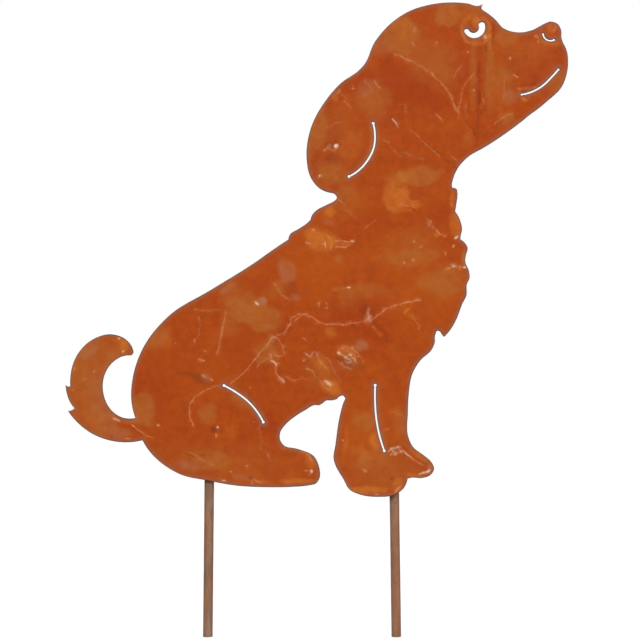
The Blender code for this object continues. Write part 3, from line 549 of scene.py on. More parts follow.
# The welds behind each stake's lap: their depths below its top
WELD_DEPTHS = {"rear_stake": (0.0050, 0.0285), "front_stake": (0.0050, 0.0245)}
WELD_LENGTH = 0.0110
WELD_LEG = 0.0025
STAKE_POINT_LENGTH = 0.0140
STAKE_TIP_RADIUS = 0.00125
STAKE_TOP_CHAMFER = 0.0004
SPATTER_COUNT = 9
SPATTER_SEED = 11
BURNT_ROUGHNESS = 0.75

# The ripples of the welds, and how far the welds reach past the bar towards the sheet
RIPPLE_DEPTH = 0.10
RIPPLE_PITCH = 1.15 * MM
WELD_REACH = 0.32 * MM

# Heat marks on the back round each weld: distances between which the dark middle fades, and the rings round
# it, each as its tint, radius and strength
HEAT_SPOT = (4 * MM, 9 * MM)
HEAT_RINGS = (("orange", 10 * MM, 0.7), ("mauve", 14 * MM, 0.6))


def from_hex(code):
    """The linear red, green and blue of a colour's display code."""
    shown = np.array([int(code[start:start + 2], 16) for start in (0, 2, 4)]) / 255
    linear = np.where(shown > 0.04045, ((shown + 0.055) / 1.055) ** 2.4, shown / 12.92)
    return tuple(linear.tolist())


def colour(code, name, description):
    return bpy.props.FloatVectorProperty(
        name=name, description=description, default=from_hex(code), size=3, subtype="COLOR", min=0.0, max=1.0
    )


def length(default, name, description):
    return bpy.props.FloatProperty(
        name=name, description=description, default=default,
        min=0.0, subtype="DISTANCE", unit="LENGTH", precision=5,
    )


def share(default, name, description):
    return bpy.props.FloatProperty(
        name=name, description=description, default=default, min=0.0, max=1.0, subtype="FACTOR"
    )


def power(default, name):
    return bpy.props.FloatProperty(
        name=name, description="Power in watts", default=default, min=0.0, unit="POWER"
    )


class SheetLook(bpy.types.PropertyGroup):
    """Sizes and colours of the cut sheet."""

    front_pitch: length(0.00135, "Front pitch", "Distance between the points of the front face")
    back_pitch: length(0.00220, "Back pitch", "Distance between the points of the back face")
    outline_pitch: length(0.00060, "Outline pitch", "Distance between the points along the cut edges")
    rounding: length(0.00026, "Edge rounding", "Radius of the front corner of the cut edges")
    burr: length(0.00012, "Burr", "Height of the burr along the back of the cut edges")
    drag_lines: length(0.00004, "Drag lines", "Depth of the lines that the cut left down the edges")
    warp: length(0.00009, "Warp", "Height of the sheet's broad waves")
    scale_height: length(0.00003, "Scale", "Height of the rust over the whole face")
    scratch_depth: length(0.00007, "Scratches", "Depth of the scratches")
    lacquer: share(0.45, "Lacquer", "Strength of the clear lacquer's gloss")
    lacquer_roughness: share(0.24, "Lacquer roughness", "Roughness of the clear lacquer")
    deep: colour("a63c06", "Deep rust", "Reddest rust")
    main: colour("ae4606", "Main rust", "Rust over most of the sheet")
    light: colour("bb560c", "Light rust", "Lighter rust in broad clouds")
    # This colour is partly brown rust and partly painted reflection: its round lighter patches on the front
    # stand for the lights mirrored in the lacquer
    brown: colour("b46628", "Brown rust and reflection", "Brown rust, and painted reflections of the lights in the lacquer")
    orange: colour("ca6e24", "Bright rust", "Fresh bright rust")
    mauve: colour("b26a42", "Mauve rust", "Dull rust with a mauve cast")
    pale: colour("dc9060", "Scratch", "Thin scratches in the lacquer")
    # This colour is partly scratches down to bright metal and partly painted highlight: white-ish glints on
    # the lacquer
    bright: colour("ffdcbc", "Bright scratch and highlight", "Scratches down to bright metal, and painted highlights")
    dark: colour("702c10", "Dark mark", "Burns and dark marks")
    burnt: colour("523420", "Cut edge", "The burnt cut edges")
    rim: colour("98624a", "Rim", "Duller rust beside the cut edges")


class StakeLook(bpy.types.PropertyGroup):
    """Sizes and colours of the two stakes."""

    sides: bpy.props.IntProperty(
        name="Sides", description="Points round the bar", default=72, min=24, max=144
    )
    pitch: length(0.00160, "Pitch", "Distance between the rings of points along the bar")
    weld_pitch: length(0.00032, "Weld pitch", "Distance between the rings of points along the welds")
    scale_height: length(0.00005, "Scale", "Depth of the rust on the bar")
    lacquer: share(0.15, "Lacquer", "Strength of the clear lacquer's gloss")
    deep: colour("6e4c38", "Deep brown", "Darkest rust of the bar")
    main: colour("93735e", "Main brown", "Rust over most of the bar")
    mauve: colour("966e60", "Mauve brown", "Rust of the bar towards the ground")
    orange: colour("a8683c", "Orange rust", "Fresh rust near the sheet")
    weld: colour("6a5242", "Weld", "Weld metal and its burnt surround")


class StudioLook(bpy.types.PropertyGroup):
    """Floor, lights and camera."""

    floor: colour("ffffff", "Floor", "Colour of the floor and backdrop")
    key_power: power(36.0, "Key light")
    fill_power: power(20.0, "Fill light")
    back_power: power(40.0, "Back light")
    ambient: share(0.55, "Ambient", "Strength of the light from above and below")
    horizon: share(0.05, "Horizon", "Strength of the light from the sides, which the upright sheet mirrors")
    lens: bpy.props.FloatProperty(
        name="Lens", description="Focal length in millimetres", default=100.0, min=10.0, unit="CAMERA"
    )


class DogLook(bpy.types.PropertyGroup):
    """Everything that can be set."""

    sheet: bpy.props.PointerProperty(type=SheetLook)
    stake: bpy.props.PointerProperty(type=StakeLook)
    studio: bpy.props.PointerProperty(type=StudioLook)


def on_sheet(pixels):
    """The places on the sheet, x and z, of these pixels of the photograph, column and row."""
    pixels = np.asarray(pixels, float)
    return np.stack([pixels[..., 0] - ORIGIN_COLUMN, GROUND_ROW - pixels[..., 1]], axis=-1) * PIXEL


def value_noise(points, size, seed):
    """Smooth random values from -1 to 1: random numbers on a lattice this wide, blended by smoothsteps."""
    cells = points / size
    corners = np.floor(cells).astype(int)
    blend = cells - corners
    blend = blend * blend * (3 - 2 * blend)
    table = np.random.default_rng(seed).uniform(-1, 1, (LATTICE,) * points.shape[1])
    total = np.zeros(len(points))
    for corner in np.ndindex((2,) * points.shape[1]):
        weight = np.prod(np.where(corner, blend, 1 - blend), axis=1)
        total += weight * table[tuple(((corners + corner) % LATTICE).T)]
    return total


def smooth_path(path, pitch, closed, corner):
    """Points about a pitch apart along cubic pieces through the path's points.

    The slope at a point is that of the parabola through it and its neighbours, and at a corner, where the
    path turns by more than the given angle, each side keeps its own chord's slope.
    """
    starts = path if closed else path[:-1]
    ends = np.roll(path, -1, axis=0) if closed else path[1:]
    spans = np.linalg.norm(ends - starts, axis=1)[:, None]
    slopes = (ends - starts) / spans
    before, span_before = np.roll(slopes, 1, axis=0), np.roll(spans, 1, axis=0)
    mean = before + (slopes - before) * span_before / (span_before + spans)
    sharp = np.sum(before * slopes, axis=1) < np.cos(corner)
    sharp[0] |= not closed
    leaving = np.where(sharp[:, None], slopes, mean)
    arriving = np.roll(np.where(sharp[:, None], before, mean), -1, axis=0)
    steps = np.maximum(1, np.round(spans[:, 0] / pitch)).astype(int)
    piece = np.repeat(np.arange(len(steps)), steps)
    t = ((np.arange(steps.sum()) - np.repeat(np.cumsum(steps) - steps, steps)) / steps[piece])[:, None]
    curve = (
        (1 + 2 * t) * (1 - t) ** 2 * starts[piece]
        + t * (1 - t) ** 2 * spans[piece] * leaving[piece]
        + t * t * (3 - 2 * t) * ends[piece]
        + t * t * (t - 1) * spans[piece] * arriving[piece]
    )
    return curve if closed else np.vstack([curve, path[-1]])


def ordered_loops(edges, count):
    """The closed loops of directed edges, each as its point numbers in order.

    Each point has one edge out. Following it 1, 2, 4, 8 ... times gives each point the lowest number on its
    loop, and then its number of steps to that point, by which the loop is sorted.
    """
    after = np.arange(count)
    after[edges[:, 0]] = edges[:, 1]
    doublings = int(np.ceil(np.log2(count)))
    lowest, jump = np.arange(count), after
    for _ in range(doublings):
        lowest = np.minimum(lowest, lowest[jump])
        jump = jump[jump]
    at_start = lowest == np.arange(count)
    steps = np.where(at_start, 0, 1)
    jump = np.where(at_start, lowest, after)
    for _ in range(doublings):
        steps = steps + steps[jump]
        jump = jump[jump]
    loops = []
    for start in np.unique(lowest[edges[:, 0]]):
        members = np.flatnonzero(lowest == start)
        order = np.argsort(np.where(members == start, count, steps[members]))[::-1]
        loops.append(members[order])
    return loops


def front_loops(node):
    """The loops round a node's front face, x and z, with the metal on the left of each."""
    mesh = node.data
    mesh.calc_loop_triangles()
    places = np.empty(len(mesh.vertices) * 3, np.float32)
    mesh.vertices.foreach_get("co", places)
    triangles = np.empty(len(mesh.loop_triangles) * 3, np.int32)
    mesh.loop_triangles.foreach_get("vertices", triangles)
    places, merged = np.unique(np.round(places.reshape(-1, 3), 6), axis=0, return_inverse=True)
    triangles = merged.reshape(-1)[triangles].reshape(-1, 3)
    in_front = places[:, 1] < places[:, 1].min() + 0.1 * MM
    triangles = triangles[in_front[triangles].all(axis=1)]
    edges = np.concatenate([triangles[:, [0, 1]], triangles[:, [1, 2]], triangles[:, [2, 0]]])
    there, back = edges @ (len(places), 1), edges @ (1, len(places))
    rim = edges[~np.isin(there, back)]
    return [places[loop][:, [0, 2]] for loop in ordered_loops(rim, len(places))]


class Outline:
    """The sheet's edges as one array of points, with each point's follower and its way into the metal."""

    def __init__(self, node, pitch):
        loops = front_loops(node)
        outer = max(loops, key=lambda loop: np.ptp(loop[:, 0]))
        low, high = outer.min(axis=0), outer.max(axis=0)
        loops = [
            smooth_path(loop, pitch, True, OUTER_CORNER if loop is outer else SLIT_CORNER) for loop in loops
        ]
        sizes = [len(loop) for loop in loops]
        firsts = np.cumsum([0, *sizes[:-1]])
        self.points = np.clip(np.concatenate(loops), low, high)
        self.after = np.concatenate([a + np.roll(np.arange(n), -1) for a, n in zip(firsts, sizes)])
        self.before = np.argsort(self.after)
        chords = self.points[self.after] - self.points
        spans = np.linalg.norm(chords, axis=1)
        self.run = np.cumsum(spans) - spans
        ways = chords / spans[:, None]
        mean = ways + ways[self.before]
        mean /= np.maximum(np.linalg.norm(mean, axis=1), 0.2)[:, None]
        stretch = 1 / np.maximum(np.sum(mean * ways, axis=1), 0.5)
        self.inward = np.stack([-mean[:, 1], mean[:, 0]], axis=1) * stretch[:, None]

    def inset(self, distance):
        """The points moved into the metal by this much, one distance or one for each point."""
        return self.points + self.inward * np.reshape(distance, (-1, 1))

    def depth(self, points):
        """How far inside the edges each point lies, and less than 0 outside them.

        The distance is that to the two edges at the nearest outline point.
        """
        ends = self.points[self.after]
        result = []
        for start in range(0, len(points), CHUNK):
            part = points[start:start + CHUNK]
            near = np.argmin(np.sum(self.points**2, axis=1) - 2 * part @ self.points.T, axis=1)
            distance = np.minimum(
                to_segment(part, self.points[near], ends[near]),
                to_segment(part, self.points[self.before[near]], self.points[near]),
            )
            result.append(distance)
        return np.concatenate(result) * np.where(self.holds(points, self.points), 1, -1)

    def holds(self, points, ring):
        """Which points lie in the metal when its edges run through this ring of points.

        A line from such a point towards +X crosses the edges an odd number of times.
        """
        ends = ring[self.after]
        rise = ends[:, 1] - ring[:, 1]
        slope = (ends[:, 0] - ring[:, 0]) / np.where(rise == 0, 1, rise)
        result = []
        for start in range(0, len(points), CHUNK):
            part = points[start:start + CHUNK]
            height = part[:, 1:] - ring[:, 1]
            straddles = (height >= 0) != (height >= rise)
            crossing = ring[:, 0] + height * slope
            result.append(np.sum(straddles & (crossing > part[:, :1]), axis=1) % 2 == 1)
        return np.concatenate(result)


def to_segment(points, starts, ends):
    """The distance from each point to its own straight segment."""
    along = ends - starts
    reach = np.sum((points - starts) * along, axis=-1) / np.maximum(np.sum(along * along, axis=-1), 1e-18)
    nearest = starts + np.clip(reach, 0, 1)[..., None] * along
    return np.linalg.norm(points - nearest, axis=-1)


def to_path(points, path):
    """The distance from each point to the nearest of the path's segments."""
    return to_segment(points[:, None], path[None, :-1], path[None, 1:]).min(axis=1)


def near_box(points, places, margin):
    """Which points lie within a margin of the box round some places."""
    return np.all((points > places.min(axis=0) - margin) & (points < places.max(axis=0) + margin), axis=1)


def arc_route(centre, radius, start, end):
    """Pixels of the photograph round part of a circle, clockwise from the right."""
    angles = np.radians(np.linspace(start, end, 16))
    return np.stack([centre[0] + radius * np.cos(angles), centre[1] + radius * np.sin(angles)], axis=1)


def stroke_routes():
    """Every stroke as its tint, half width, strength and smooth route on the sheet."""
    rows = [(*row[:3], np.array(row[3])) for row in STROKES]
    rows += [(*row[:3], arc_route(*row[3:])) for row in OXIDE_ARCS]
    return [
        (tint, width * PIXEL, strength, smooth_path(on_sheet(route), STROKE_PITCH, False, np.pi))
        for tint, width, strength, route in rows
    ]


def patch_reach(points, column, row, half_width, half_height, turn):
    """How far each point is from a patch's middle, as a share of the patch's half size in that direction."""
    offset = (points - on_sheet((column, row))) / PIXEL
    way = np.radians(-turn)
    across = offset @ (np.cos(way), np.sin(way)) / half_width
    up = offset @ (-np.sin(way), np.cos(way)) / half_height
    return np.hypot(across, up)


def fade(value, start, end):
    """1 below start, 0 above end, and a smoothstep between them."""
    t = np.clip((end - value) / (end - start), 0, 1)
    return t * t * (3 - 2 * t)


def mark_points(routes):
    """Points that carry the strokes and the small patches: rows beside each stroke, and small round grids."""
    found = []
    for _, width, _, route in routes:
        way = np.gradient(route, axis=0)
        way /= np.linalg.norm(way, axis=1)[:, None]
        side = np.stack([-way[:, 1], way[:, 0]], axis=1)
        found += [route + side * (width * STROKE_STEP * step) for step in STROKE_SIDES]
    for _, column, row, half_width, half_height, turn, *_ in PATCHES:
        if min(half_width, half_height) > CLOSE_PATCH:
            continue
        reach = 1.6 * max(half_width, half_height) * PIXEL
        steps = np.arange(-reach, reach + 0.1 * MM, PATCH_PITCH)
        grid = np.stack(np.meshgrid(steps, steps), axis=-1).reshape(-1, 2) + on_sheet((column, row))
        found.append(grid[patch_reach(grid, column, row, half_width, half_height, turn) < 1.5])
    return np.concatenate(found)


def thinned(points, pitch):
    """The points without those that share a cell of this size with an earlier one."""
    _, first = np.unique(np.round(points / pitch), axis=0, return_index=True)
    return points[np.sort(first)]


def staggered_grid(low, high, pitch):
    """Points in staggered rows, each point the same distance from its six neighbours."""
    rows = np.arange(low[1], high[1], pitch * np.sqrt(3) / 2)
    columns = np.arange(low[0], high[0], pitch)
    x, z = np.meshgrid(columns, rows)
    return np.stack([x + (np.arange(len(rows))[:, None] % 2) * pitch / 2, z], axis=-1).reshape(-1, 2)


def away_from(points, others, distance):
    """The points whose square cell of this width, and the eight cells round it, hold none of the others."""
    beside = np.array([(across, up) for across in (-1, 0, 1) for up in (-1, 0, 1)])
    taken = np.round(others / distance).astype(int)[:, None] + beside
    code = np.array([1, 1 << 20])
    return points[~np.isin(np.round(points / distance).astype(int) @ code, taken.reshape(-1, 2) @ code)]


def face_points(outline, edge, rings, fine, pitch):
    """A face's points with their depths: its edge, the rings beside it, then the fine and the even points."""
    even = staggered_grid(outline.points.min(axis=0), outline.points.max(axis=0), pitch)
    if len(fine):
        fine = thinned(fine, FINE_PITCH)
        even = away_from(even, fine, 0.55 * pitch)
    inner = np.concatenate([fine, even]) if len(fine) else even
    depths = outline.depth(inner)
    inner, inner_depths = inner[depths > EDGE_CLEARANCE], depths[depths > EDGE_CLEARANCE]
    beside = np.concatenate([outline.inset(ring) for ring in rings])
    wanted = np.repeat(rings, len(outline.points))
    depths = outline.depth(beside)
    beside, beside_depths = beside[depths > 0.9 * wanted], depths[depths > 0.9 * wanted]
    points = np.concatenate([edge, beside, inner])
    return points, np.concatenate([np.zeros(len(edge)), beside_depths, inner_depths])


def filled(points, outline):
    """Triangles that fill the outline through all the points, counter-clockwise. Its own points come first.

    A triangle with a corner away from the edges is in the metal, and the others are tested at their middles.
    """
    rim = len(outline.after)
    borders = np.stack([np.arange(rim), outline.after], axis=1)
    _, _, triangles, sources, _, _ = delaunay_2d_cdt((points / MM).tolist(), borders.tolist(), [], 0, 1e-5)
    triangles = np.array(sources).reshape(-1)[np.array(triangles)]
    on_rim = (triangles < rim).all(axis=1)
    kept = ~on_rim
    kept[on_rim] = outline.holds(points[triangles[on_rim]].mean(axis=1), points[:rim])
    return triangles[kept]


def edge_drop(depths, radius):
    """How far a rounded corner has dropped at these depths from its edge: a quarter circle."""
    inner = np.clip(1 - depths / radius, 0, 1)
    return radius * (1 - np.sqrt(1 - inner**2))


def no_tints(count):
    """Every tint at no strength, for this many points."""
    return {name: np.zeros(count) for layer in LAYERS.values() for name in layer}


def front_tints(points, depths, routes):
    """Every tint's strength at the front's points.

    A patch is full inside an ellipse and fades across its edge, which noise makes uneven. A stroke is a bell
    across its route. The burnt edge and the rim beside it depend on the depth inside the outline.
    """
    tints = no_tints(len(points))
    broad = 0.26 * value_noise(points, 9 * MM, 3) + 0.12 * value_noise(points, 3 * MM, 4)
    fine = 0.25 * value_noise(points, 1.3 * MM, 14)
    for name, column, row, half_width, half_height, turn, softness, strength in PATCHES:
        reach = patch_reach(points, column, row, half_width, half_height, turn) + broad
        if min(half_width, half_height) < SPOT_SIZE:
            reach = reach + fine
        new = strength * fade(reach, 1 - softness, 1 + 0.6 * softness)
        tints[name] = 1 - (1 - tints[name]) * (1 - new)
    streaky = np.clip(0.80 + 0.50 * value_noise(points, 1.9 * MM, 5), 0.1, 1.2)
    astray = np.stack([value_noise(points, 2.1 * MM, seed) for seed in (8, 9)], axis=1) * 0.45 * MM
    for name, width, strength, route in routes:
        close = np.flatnonzero(near_box(points, route, 4 * width))
        distance = to_path(points[close] + astray[close], route)
        new = strength * np.exp(-((distance / width) ** 2)) * streaky[close]
        tints[name][close] = 1 - (1 - tints[name][close]) * (1 - new)
    uneven = 1 + 0.35 * value_noise(points, 5 * MM, 6)
    tints["burnt"] = fade(depths, FRONT_BURNT[0], FRONT_BURNT[1] * uneven)
    tints["rim"] = fade(depths, *FRONT_RIM) * (0.85 + 0.15 * value_noise(points, 9 * MM, 7))
    return tints


def front_relief(points, tints, look):
    """The front's height over its mean plane: broad waves, rust, raised rough spots, and cut scratches."""
    waves = look.warp * (value_noise(points, 70 * MM, 21) + 0.5 * value_noise(points, 26 * MM, 22)) / 1.5
    rust = look.scale_height * (value_noise(points, 5 * MM, 23) + 0.6 * value_noise(points, 2.4 * MM, 24))
    rough = np.zeros(len(points))
    for column, row, half_width, half_height in ROUGH_SPOTS:
        reach = patch_reach(points, column, row, half_width, half_height, 0)
        rough = np.maximum(rough, fade(reach, 0.3, 1.1))
    rust *= 1 + 1.6 * rough
    cuts = look.scratch_depth * (tints["pale"] + tints["bright"] + 0.7 * tints["dark"])
    return np.minimum(waves + rust - cuts, FRONT_ROOM)


def spatter(name):
    """Places on the sheet's back of the small drops that the welding threw off, with their radii."""
    bar = Bar(name)
    draw = np.random.default_rng(SPATTER_SEED)
    places = []
    for depth in WELD_DEPTHS[name]:
        weld = bar.behind(depth)
        angles = draw.uniform(0, 2 * np.pi, SPATTER_COUNT)
        reach = draw.uniform(7, 22, SPATTER_COUNT) * MM
        places.append(weld + np.stack([np.cos(angles), np.sin(angles)], axis=1) * reach[:, None])
    places = np.concatenate(places)
    return places, draw.uniform(0.35, 0.75, len(places)) * MM


def back_surface(points, depths, look):
    """The back's height over its mean plane, and its tints: rust, a burr, spatter and heat marks."""
    tints = no_tints(len(points))
    rust = look.scale_height * (value_noise(points, 6 * MM, 31) + 0.6 * value_noise(points, 2.8 * MM, 32))
    burr = look.burr * np.exp(-((depths - 0.2 * MM) / (0.25 * MM)) ** 2)
    height = 0.5 * rust + burr * np.clip(0.6 + value_noise(points, 2.2 * MM, 33), 0, 1)
    uneven = 1 + 0.4 * value_noise(points, 4 * MM, 34)
    tints["burnt"] = fade(depths, BACK_BURNT[0], BACK_BURNT[1] * uneven)
    tints["rim"] = 0.6 * fade(np.abs(depths - 2.0 * MM), 0.4 * MM, 2.0 * MM)
    tints["brown"] = np.clip(0.9 * value_noise(points, 30 * MM, 35), 0, 0.8)
    tints["deep"] = np.clip(0.9 * value_noise(points, 38 * MM, 36), 0, 0.7)
    for name in WELD_DEPTHS:
        bar = Bar(name)
        for weld_depth in WELD_DEPTHS[name]:
            weld = bar.behind(weld_depth) + (bar.radius, 0.0)
            distance = np.linalg.norm((points - weld) / (1.0, 1.25), axis=1)
            uneven = 1 + 0.25 * value_noise(points, 5 * MM, 37)
            middle = fade(distance, HEAT_SPOT[0], HEAT_SPOT[1] * uneven)
            tints["dark"] = np.maximum(tints["dark"], 0.8 * middle)
            for tint, radius, strength in HEAT_RINGS:
                ring = fade(np.abs(distance - radius * uneven), 0.5 * MM, 3 * MM)
                tints[tint] = np.maximum(tints[tint], strength * ring)
        for place, radius in zip(*spatter(name)):
            inner = np.clip(1 - np.sum((points - place) ** 2, axis=1) / radius**2, 0, 1)
            height = height + 0.7 * radius * np.sqrt(inner)
            tints["dark"] = np.maximum(tints["dark"], 0.7 * (inner > 0))
    return height, tints


def spatter_points():
    """Close rings of points that carry each drop of spatter."""
    found = []
    for name in WELD_DEPTHS:
        for place, radius in zip(*spatter(name)):
            angles = np.linspace(0, 2 * np.pi, 12, endpoint=False)
            circle = np.stack([np.cos(angles), np.sin(angles)], axis=1)
            found += [place + circle * (radius * reach) for reach in (1.02, 0.92, 0.6, 0.01)]
    return np.concatenate(found)


def new_piece(name, points, faces, body, slot, *replaced):
    """A mesh object at the origin from arrays of points and faces, smooth all over, riding on a body."""
    mesh = bpy.data.meshes.new(name)
    mesh.from_pydata(points.tolist(), [], faces)
    mesh.shade_smooth()
    piece = bpy.data.objects.new(name, mesh)
    bpy.context.collection.objects.link(piece)
    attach(piece, body)
    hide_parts(*replaced)
    return piece


def paint(piece, layer, tints):
    """Stores up to three tints as one colour attribute."""
    values = np.ones((len(piece.data.vertices), 4), np.float32)
    values[:, :len(tints)] = np.stack(tints, axis=1)
    attribute = piece.data.attributes.new(layer, "FLOAT_COLOR", "POINT")
    attribute.data.foreach_set("color", values.reshape(-1))


def make_sheet(look):
    """The sheet: two filled faces with relief, joined by a profile that is carried along every edge."""
    node = frame["nodes"]["dog_plate"]
    low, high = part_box("dog_plate")
    front, back = low.y + FRONT_ROOM, high.y - BACK_ROOM
    outline = Outline(node, look.outline_pitch)
    routes = stroke_routes()

    points, depths = face_points(outline, outline.points, FRONT_RINGS, mark_points(routes), look.front_pitch)
    front_faces = filled(points, outline)
    tints = front_tints(points, depths, routes)
    y = front + edge_drop(depths, look.rounding) - front_relief(points, tints, look) * (depths > 0)
    front_points = np.stack([points[:, 0], y, points[:, 1]], axis=1)

    rim = len(outline.points)
    levels = np.array([*WALL_RINGS, 1.0])
    lean = DRAG_LEAN * levels[:, None] ** 2
    drag = look.drag_lines * (1 + np.sin(2 * np.pi * (outline.run / DRAG_PITCH + lean)))
    insets = drag * levels[:, None] + 0.03 * MM * levels[:, None]
    walls = []
    for level, inset in zip(levels, insets):
        place = outline.inset(inset)
        depth = front + look.rounding + (back - front - look.rounding) * level
        walls.append(np.stack([place[:, 0], np.full(rim, depth), place[:, 1]], axis=1))

    edge = walls[-1][:, [0, 2]]
    points, depths = face_points(outline, edge, BACK_RINGS, spatter_points(), look.back_pitch)
    back_faces = filled(points, outline)
    height, back_tints = back_surface(points, depths, look)
    y = back + height * (depths > 0)
    back_points = np.stack([points[:, 0], y, points[:, 1]], axis=1)

    firsts = len(front_points) + rim * np.arange(len(levels) - 1)
    back_first = len(front_points) + rim * (len(levels) - 1)
    number = np.arange(rim)
    faces = front_faces.tolist() + (back_first + back_faces[:, ::-1]).tolist()
    for near, far in zip([0, *firsts], [*firsts, back_first]):
        strip = [near + number, far + number, far + outline.after, near + outline.after]
        faces += np.stack(strip, axis=1).tolist()
    all_points = np.concatenate([front_points, *walls[:-1], back_points])
    sheet = new_piece("dog_sheet", all_points, faces, "root", "rusted_sheet", "dog_plate")
    wall_tints = {name: np.full(rim * (len(levels) - 1), float(name == "burnt")) for name in tints}
    for layer, names in LAYERS.items():
        paint(sheet, layer, [np.concatenate([tints[n], wall_tints[n], back_tints[n]]) for n in names])
    return sheet


class Bar:
    """Where a stake lies: its tip, its way up, its length and its radius, read from the frame."""

    def __init__(self, name):
        mounts = {mount["name"]: mount for mount in frame["record"]["mounts"]}
        _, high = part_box(name)
        self.tip = np.array(mounts[f"{name}_tip"]["pos_m"], float)
        self.up = -np.array(mounts[f"{name}_tip"]["axis"], float)
        self.across = np.array([self.up[2], 0.0, -self.up[0]])
        self.radius = high.y
        self.length = (high.z - self.tip[2] - self.radius * abs(self.up[0])) / self.up[2]

    def behind(self, depth):
        """The place on the sheet, x and z, that the bar's axis passes this far below its top."""
        return (self.tip + self.up * (self.length - depth))[[0, 2]]


def bar_stations(bar, welds, look):
    """Heights of the rings of points up a stake: close together at its point, its welds and its top."""
    point = np.linspace(0, STAKE_POINT_LENGTH, 12)
    top = bar.length - np.array([STAKE_TOP_CHAMFER, STAKE_TOP_CHAMFER / 2, 0.0])
    weld_zone = bar.length - max(welds) - 0.7 * WELD_LENGTH
    shank = np.arange(point[-1] + look.pitch, weld_zone, look.pitch)
    lap = np.arange(weld_zone, top[0] - look.weld_pitch / 2, look.weld_pitch)
    return np.concatenate([point, shank, lap, top])


def weld_reach(angles, heights, bar, weld_height, seed):
    """How far from the bar's axis a weld reaches at these angles from the sheet, or 0 where there is none.

    Across the bar, the bead is half an ellipse that stands on the sheet in the corner beside the bar. It
    shrinks to nothing at its two ends, and ripples run round it.
    """
    along = (heights - weld_height) / (WELD_LENGTH / 2)
    swell = np.sqrt(np.clip(1 - along**2, 0, 1))
    ripple = 1 - RIPPLE_DEPTH * np.abs(np.sin(np.pi * (heights - weld_height) / RIPPLE_PITCH - 0.5 * angles))
    wander = 1 + 0.06 * np.sin(900 * heights + seed)
    half_width = (bar.radius + WELD_LEG) / 2 * swell * ripple * wander + 1e-9
    leg = WELD_LEG * swell * ripple + 1e-9
    middle = (bar.radius + WELD_LEG) / 2
    sine, cosine = np.sin(angles), np.cos(angles)
    a = (sine / half_width) ** 2 + (cosine / leg) ** 2
    b = -2 * (middle * sine / half_width**2 + bar.radius * cosine / leg**2)
    c = (middle / half_width) ** 2 + (bar.radius / leg) ** 2 - 1
    root = b * b - 4 * a * c
    reach = np.where(root > 0, (-b + np.sqrt(np.maximum(root, 0))) / (2 * a), 0)
    limit = (bar.radius + WELD_REACH) / np.maximum(cosine, 1e-6)
    return np.where(cosine > 1e-3, np.minimum(reach, limit), reach)


def tube_faces(rings, sides):
    """The point numbers of a tube's rings, those of the next points round, and its four-sided faces."""
    grid = np.arange(rings * sides).reshape(rings, sides)
    beside = np.roll(grid, -1, axis=1)
    return grid, beside, np.stack([grid[:-1], grid[1:], beside[1:], beside[:-1]], axis=-1).reshape(-1, 4)


def make_stake(name, look, seed):
    """A stake: a radius for every angle round it and height up it, on a grid closed at its tip and top."""
    bar = Bar(name)
    welds = WELD_DEPTHS[name]
    stations = bar_stations(bar, welds, look)
    turn = np.linspace(0, 2 * np.pi, look.sides, endpoint=False)
    heights, angles = np.meshgrid(stations, turn, indexing="ij")
    round_tip = STAKE_TIP_RADIUS + (bar.radius - STAKE_TIP_RADIUS) * heights / STAKE_POINT_LENGTH
    round_top = bar.radius - STAKE_TOP_CHAMFER + (bar.length - heights)
    plain = np.minimum(np.minimum(round_tip, round_top), bar.radius)
    skin = np.stack([plain * np.cos(angles), plain * np.sin(angles), heights / 3], axis=-1).reshape(-1, 3)
    rust = 0.5 + 0.3 * value_noise(skin, 2.5 * MM, seed) + 0.2 * value_noise(skin, 0.9 * MM, seed + 1)
    radius = plain - look.scale_height * rust.reshape(plain.shape)
    bead = np.zeros(plain.shape)
    for depth in welds:
        bead = np.maximum(bead, weld_reach(angles, heights, bar, bar.length - depth, seed))
    radius = np.maximum(radius, bead)
    places = (
        bar.tip
        + bar.up * heights[..., None]
        + bar.across * (radius * np.sin(angles))[..., None]
        + np.array([0.0, -1.0, 0.0]) * (radius * np.cos(angles))[..., None]
    ).reshape(-1, 3)
    grid, beside, quads = tube_faces(*heights.shape)
    ends = np.stack([bar.tip, bar.tip + bar.up * bar.length])
    low = np.stack([np.full(look.sides, len(places)), grid[0], beside[0]], axis=-1)
    high = np.stack([np.full(look.sides, len(places) + 1), beside[-1], grid[-1]], axis=-1)
    faces = quads.tolist() + low.tolist() + high.tolist()
    stake = new_piece(f"{name}_bar", np.concatenate([places, ends]), faces, "root", "rusted_bar", name)
    weld_zone = np.min([np.abs(heights - bar.length + depth) for depth in welds], axis=0)
    burnt = np.maximum(fade(weld_zone, 5 * MM, 10 * MM) * 0.6, bead > plain + 0.02 * MM)
    from_sheet = np.clip((heights - 0.060) / 0.045, 0, 1)
    low_down = np.clip(0.55 - heights / bar.length, 0, 1) * 1.6
    tints = [np.append(tint.reshape(-1), (0.0, 1.0)) for tint in (burnt, from_sheet, low_down)]
    paint(stake, "bar_tints", tints)
    return stake


def add_node(tree, kind, inputs=None, **settings):
    """A node with its settings made, and each input either linked from a socket or given a value."""
    node = tree.nodes.new(kind)
    node.location = (190 * (len(tree.nodes) % 9), -230 * (len(tree.nodes) // 9))
    for name, value in settings.items():
        setattr(node, name, value)
    for name, value in (inputs or {}).items():
        if isinstance(value, bpy.types.NodeSocket):
            tree.links.new(value, node.inputs[name])
        else:
            node.inputs[name].default_value = value
    return node


def mixed(tree, factor, first, second):
    """The colour between two others, each a colour or a link, by a factor or a link."""
    wide = [value if isinstance(value, bpy.types.NodeSocket) else (*value, 1.0) for value in (first, second)]
    inputs = {0: factor, 6: wide[0], 7: wide[1]}
    return add_node(tree, "ShaderNodeMix", inputs, data_type="RGBA").outputs[2]


def times(tree, first, second):
    """The product of two values or links."""
    return add_node(tree, "ShaderNodeMath", {0: first, 1: second}, operation="MULTIPLY").outputs[0]


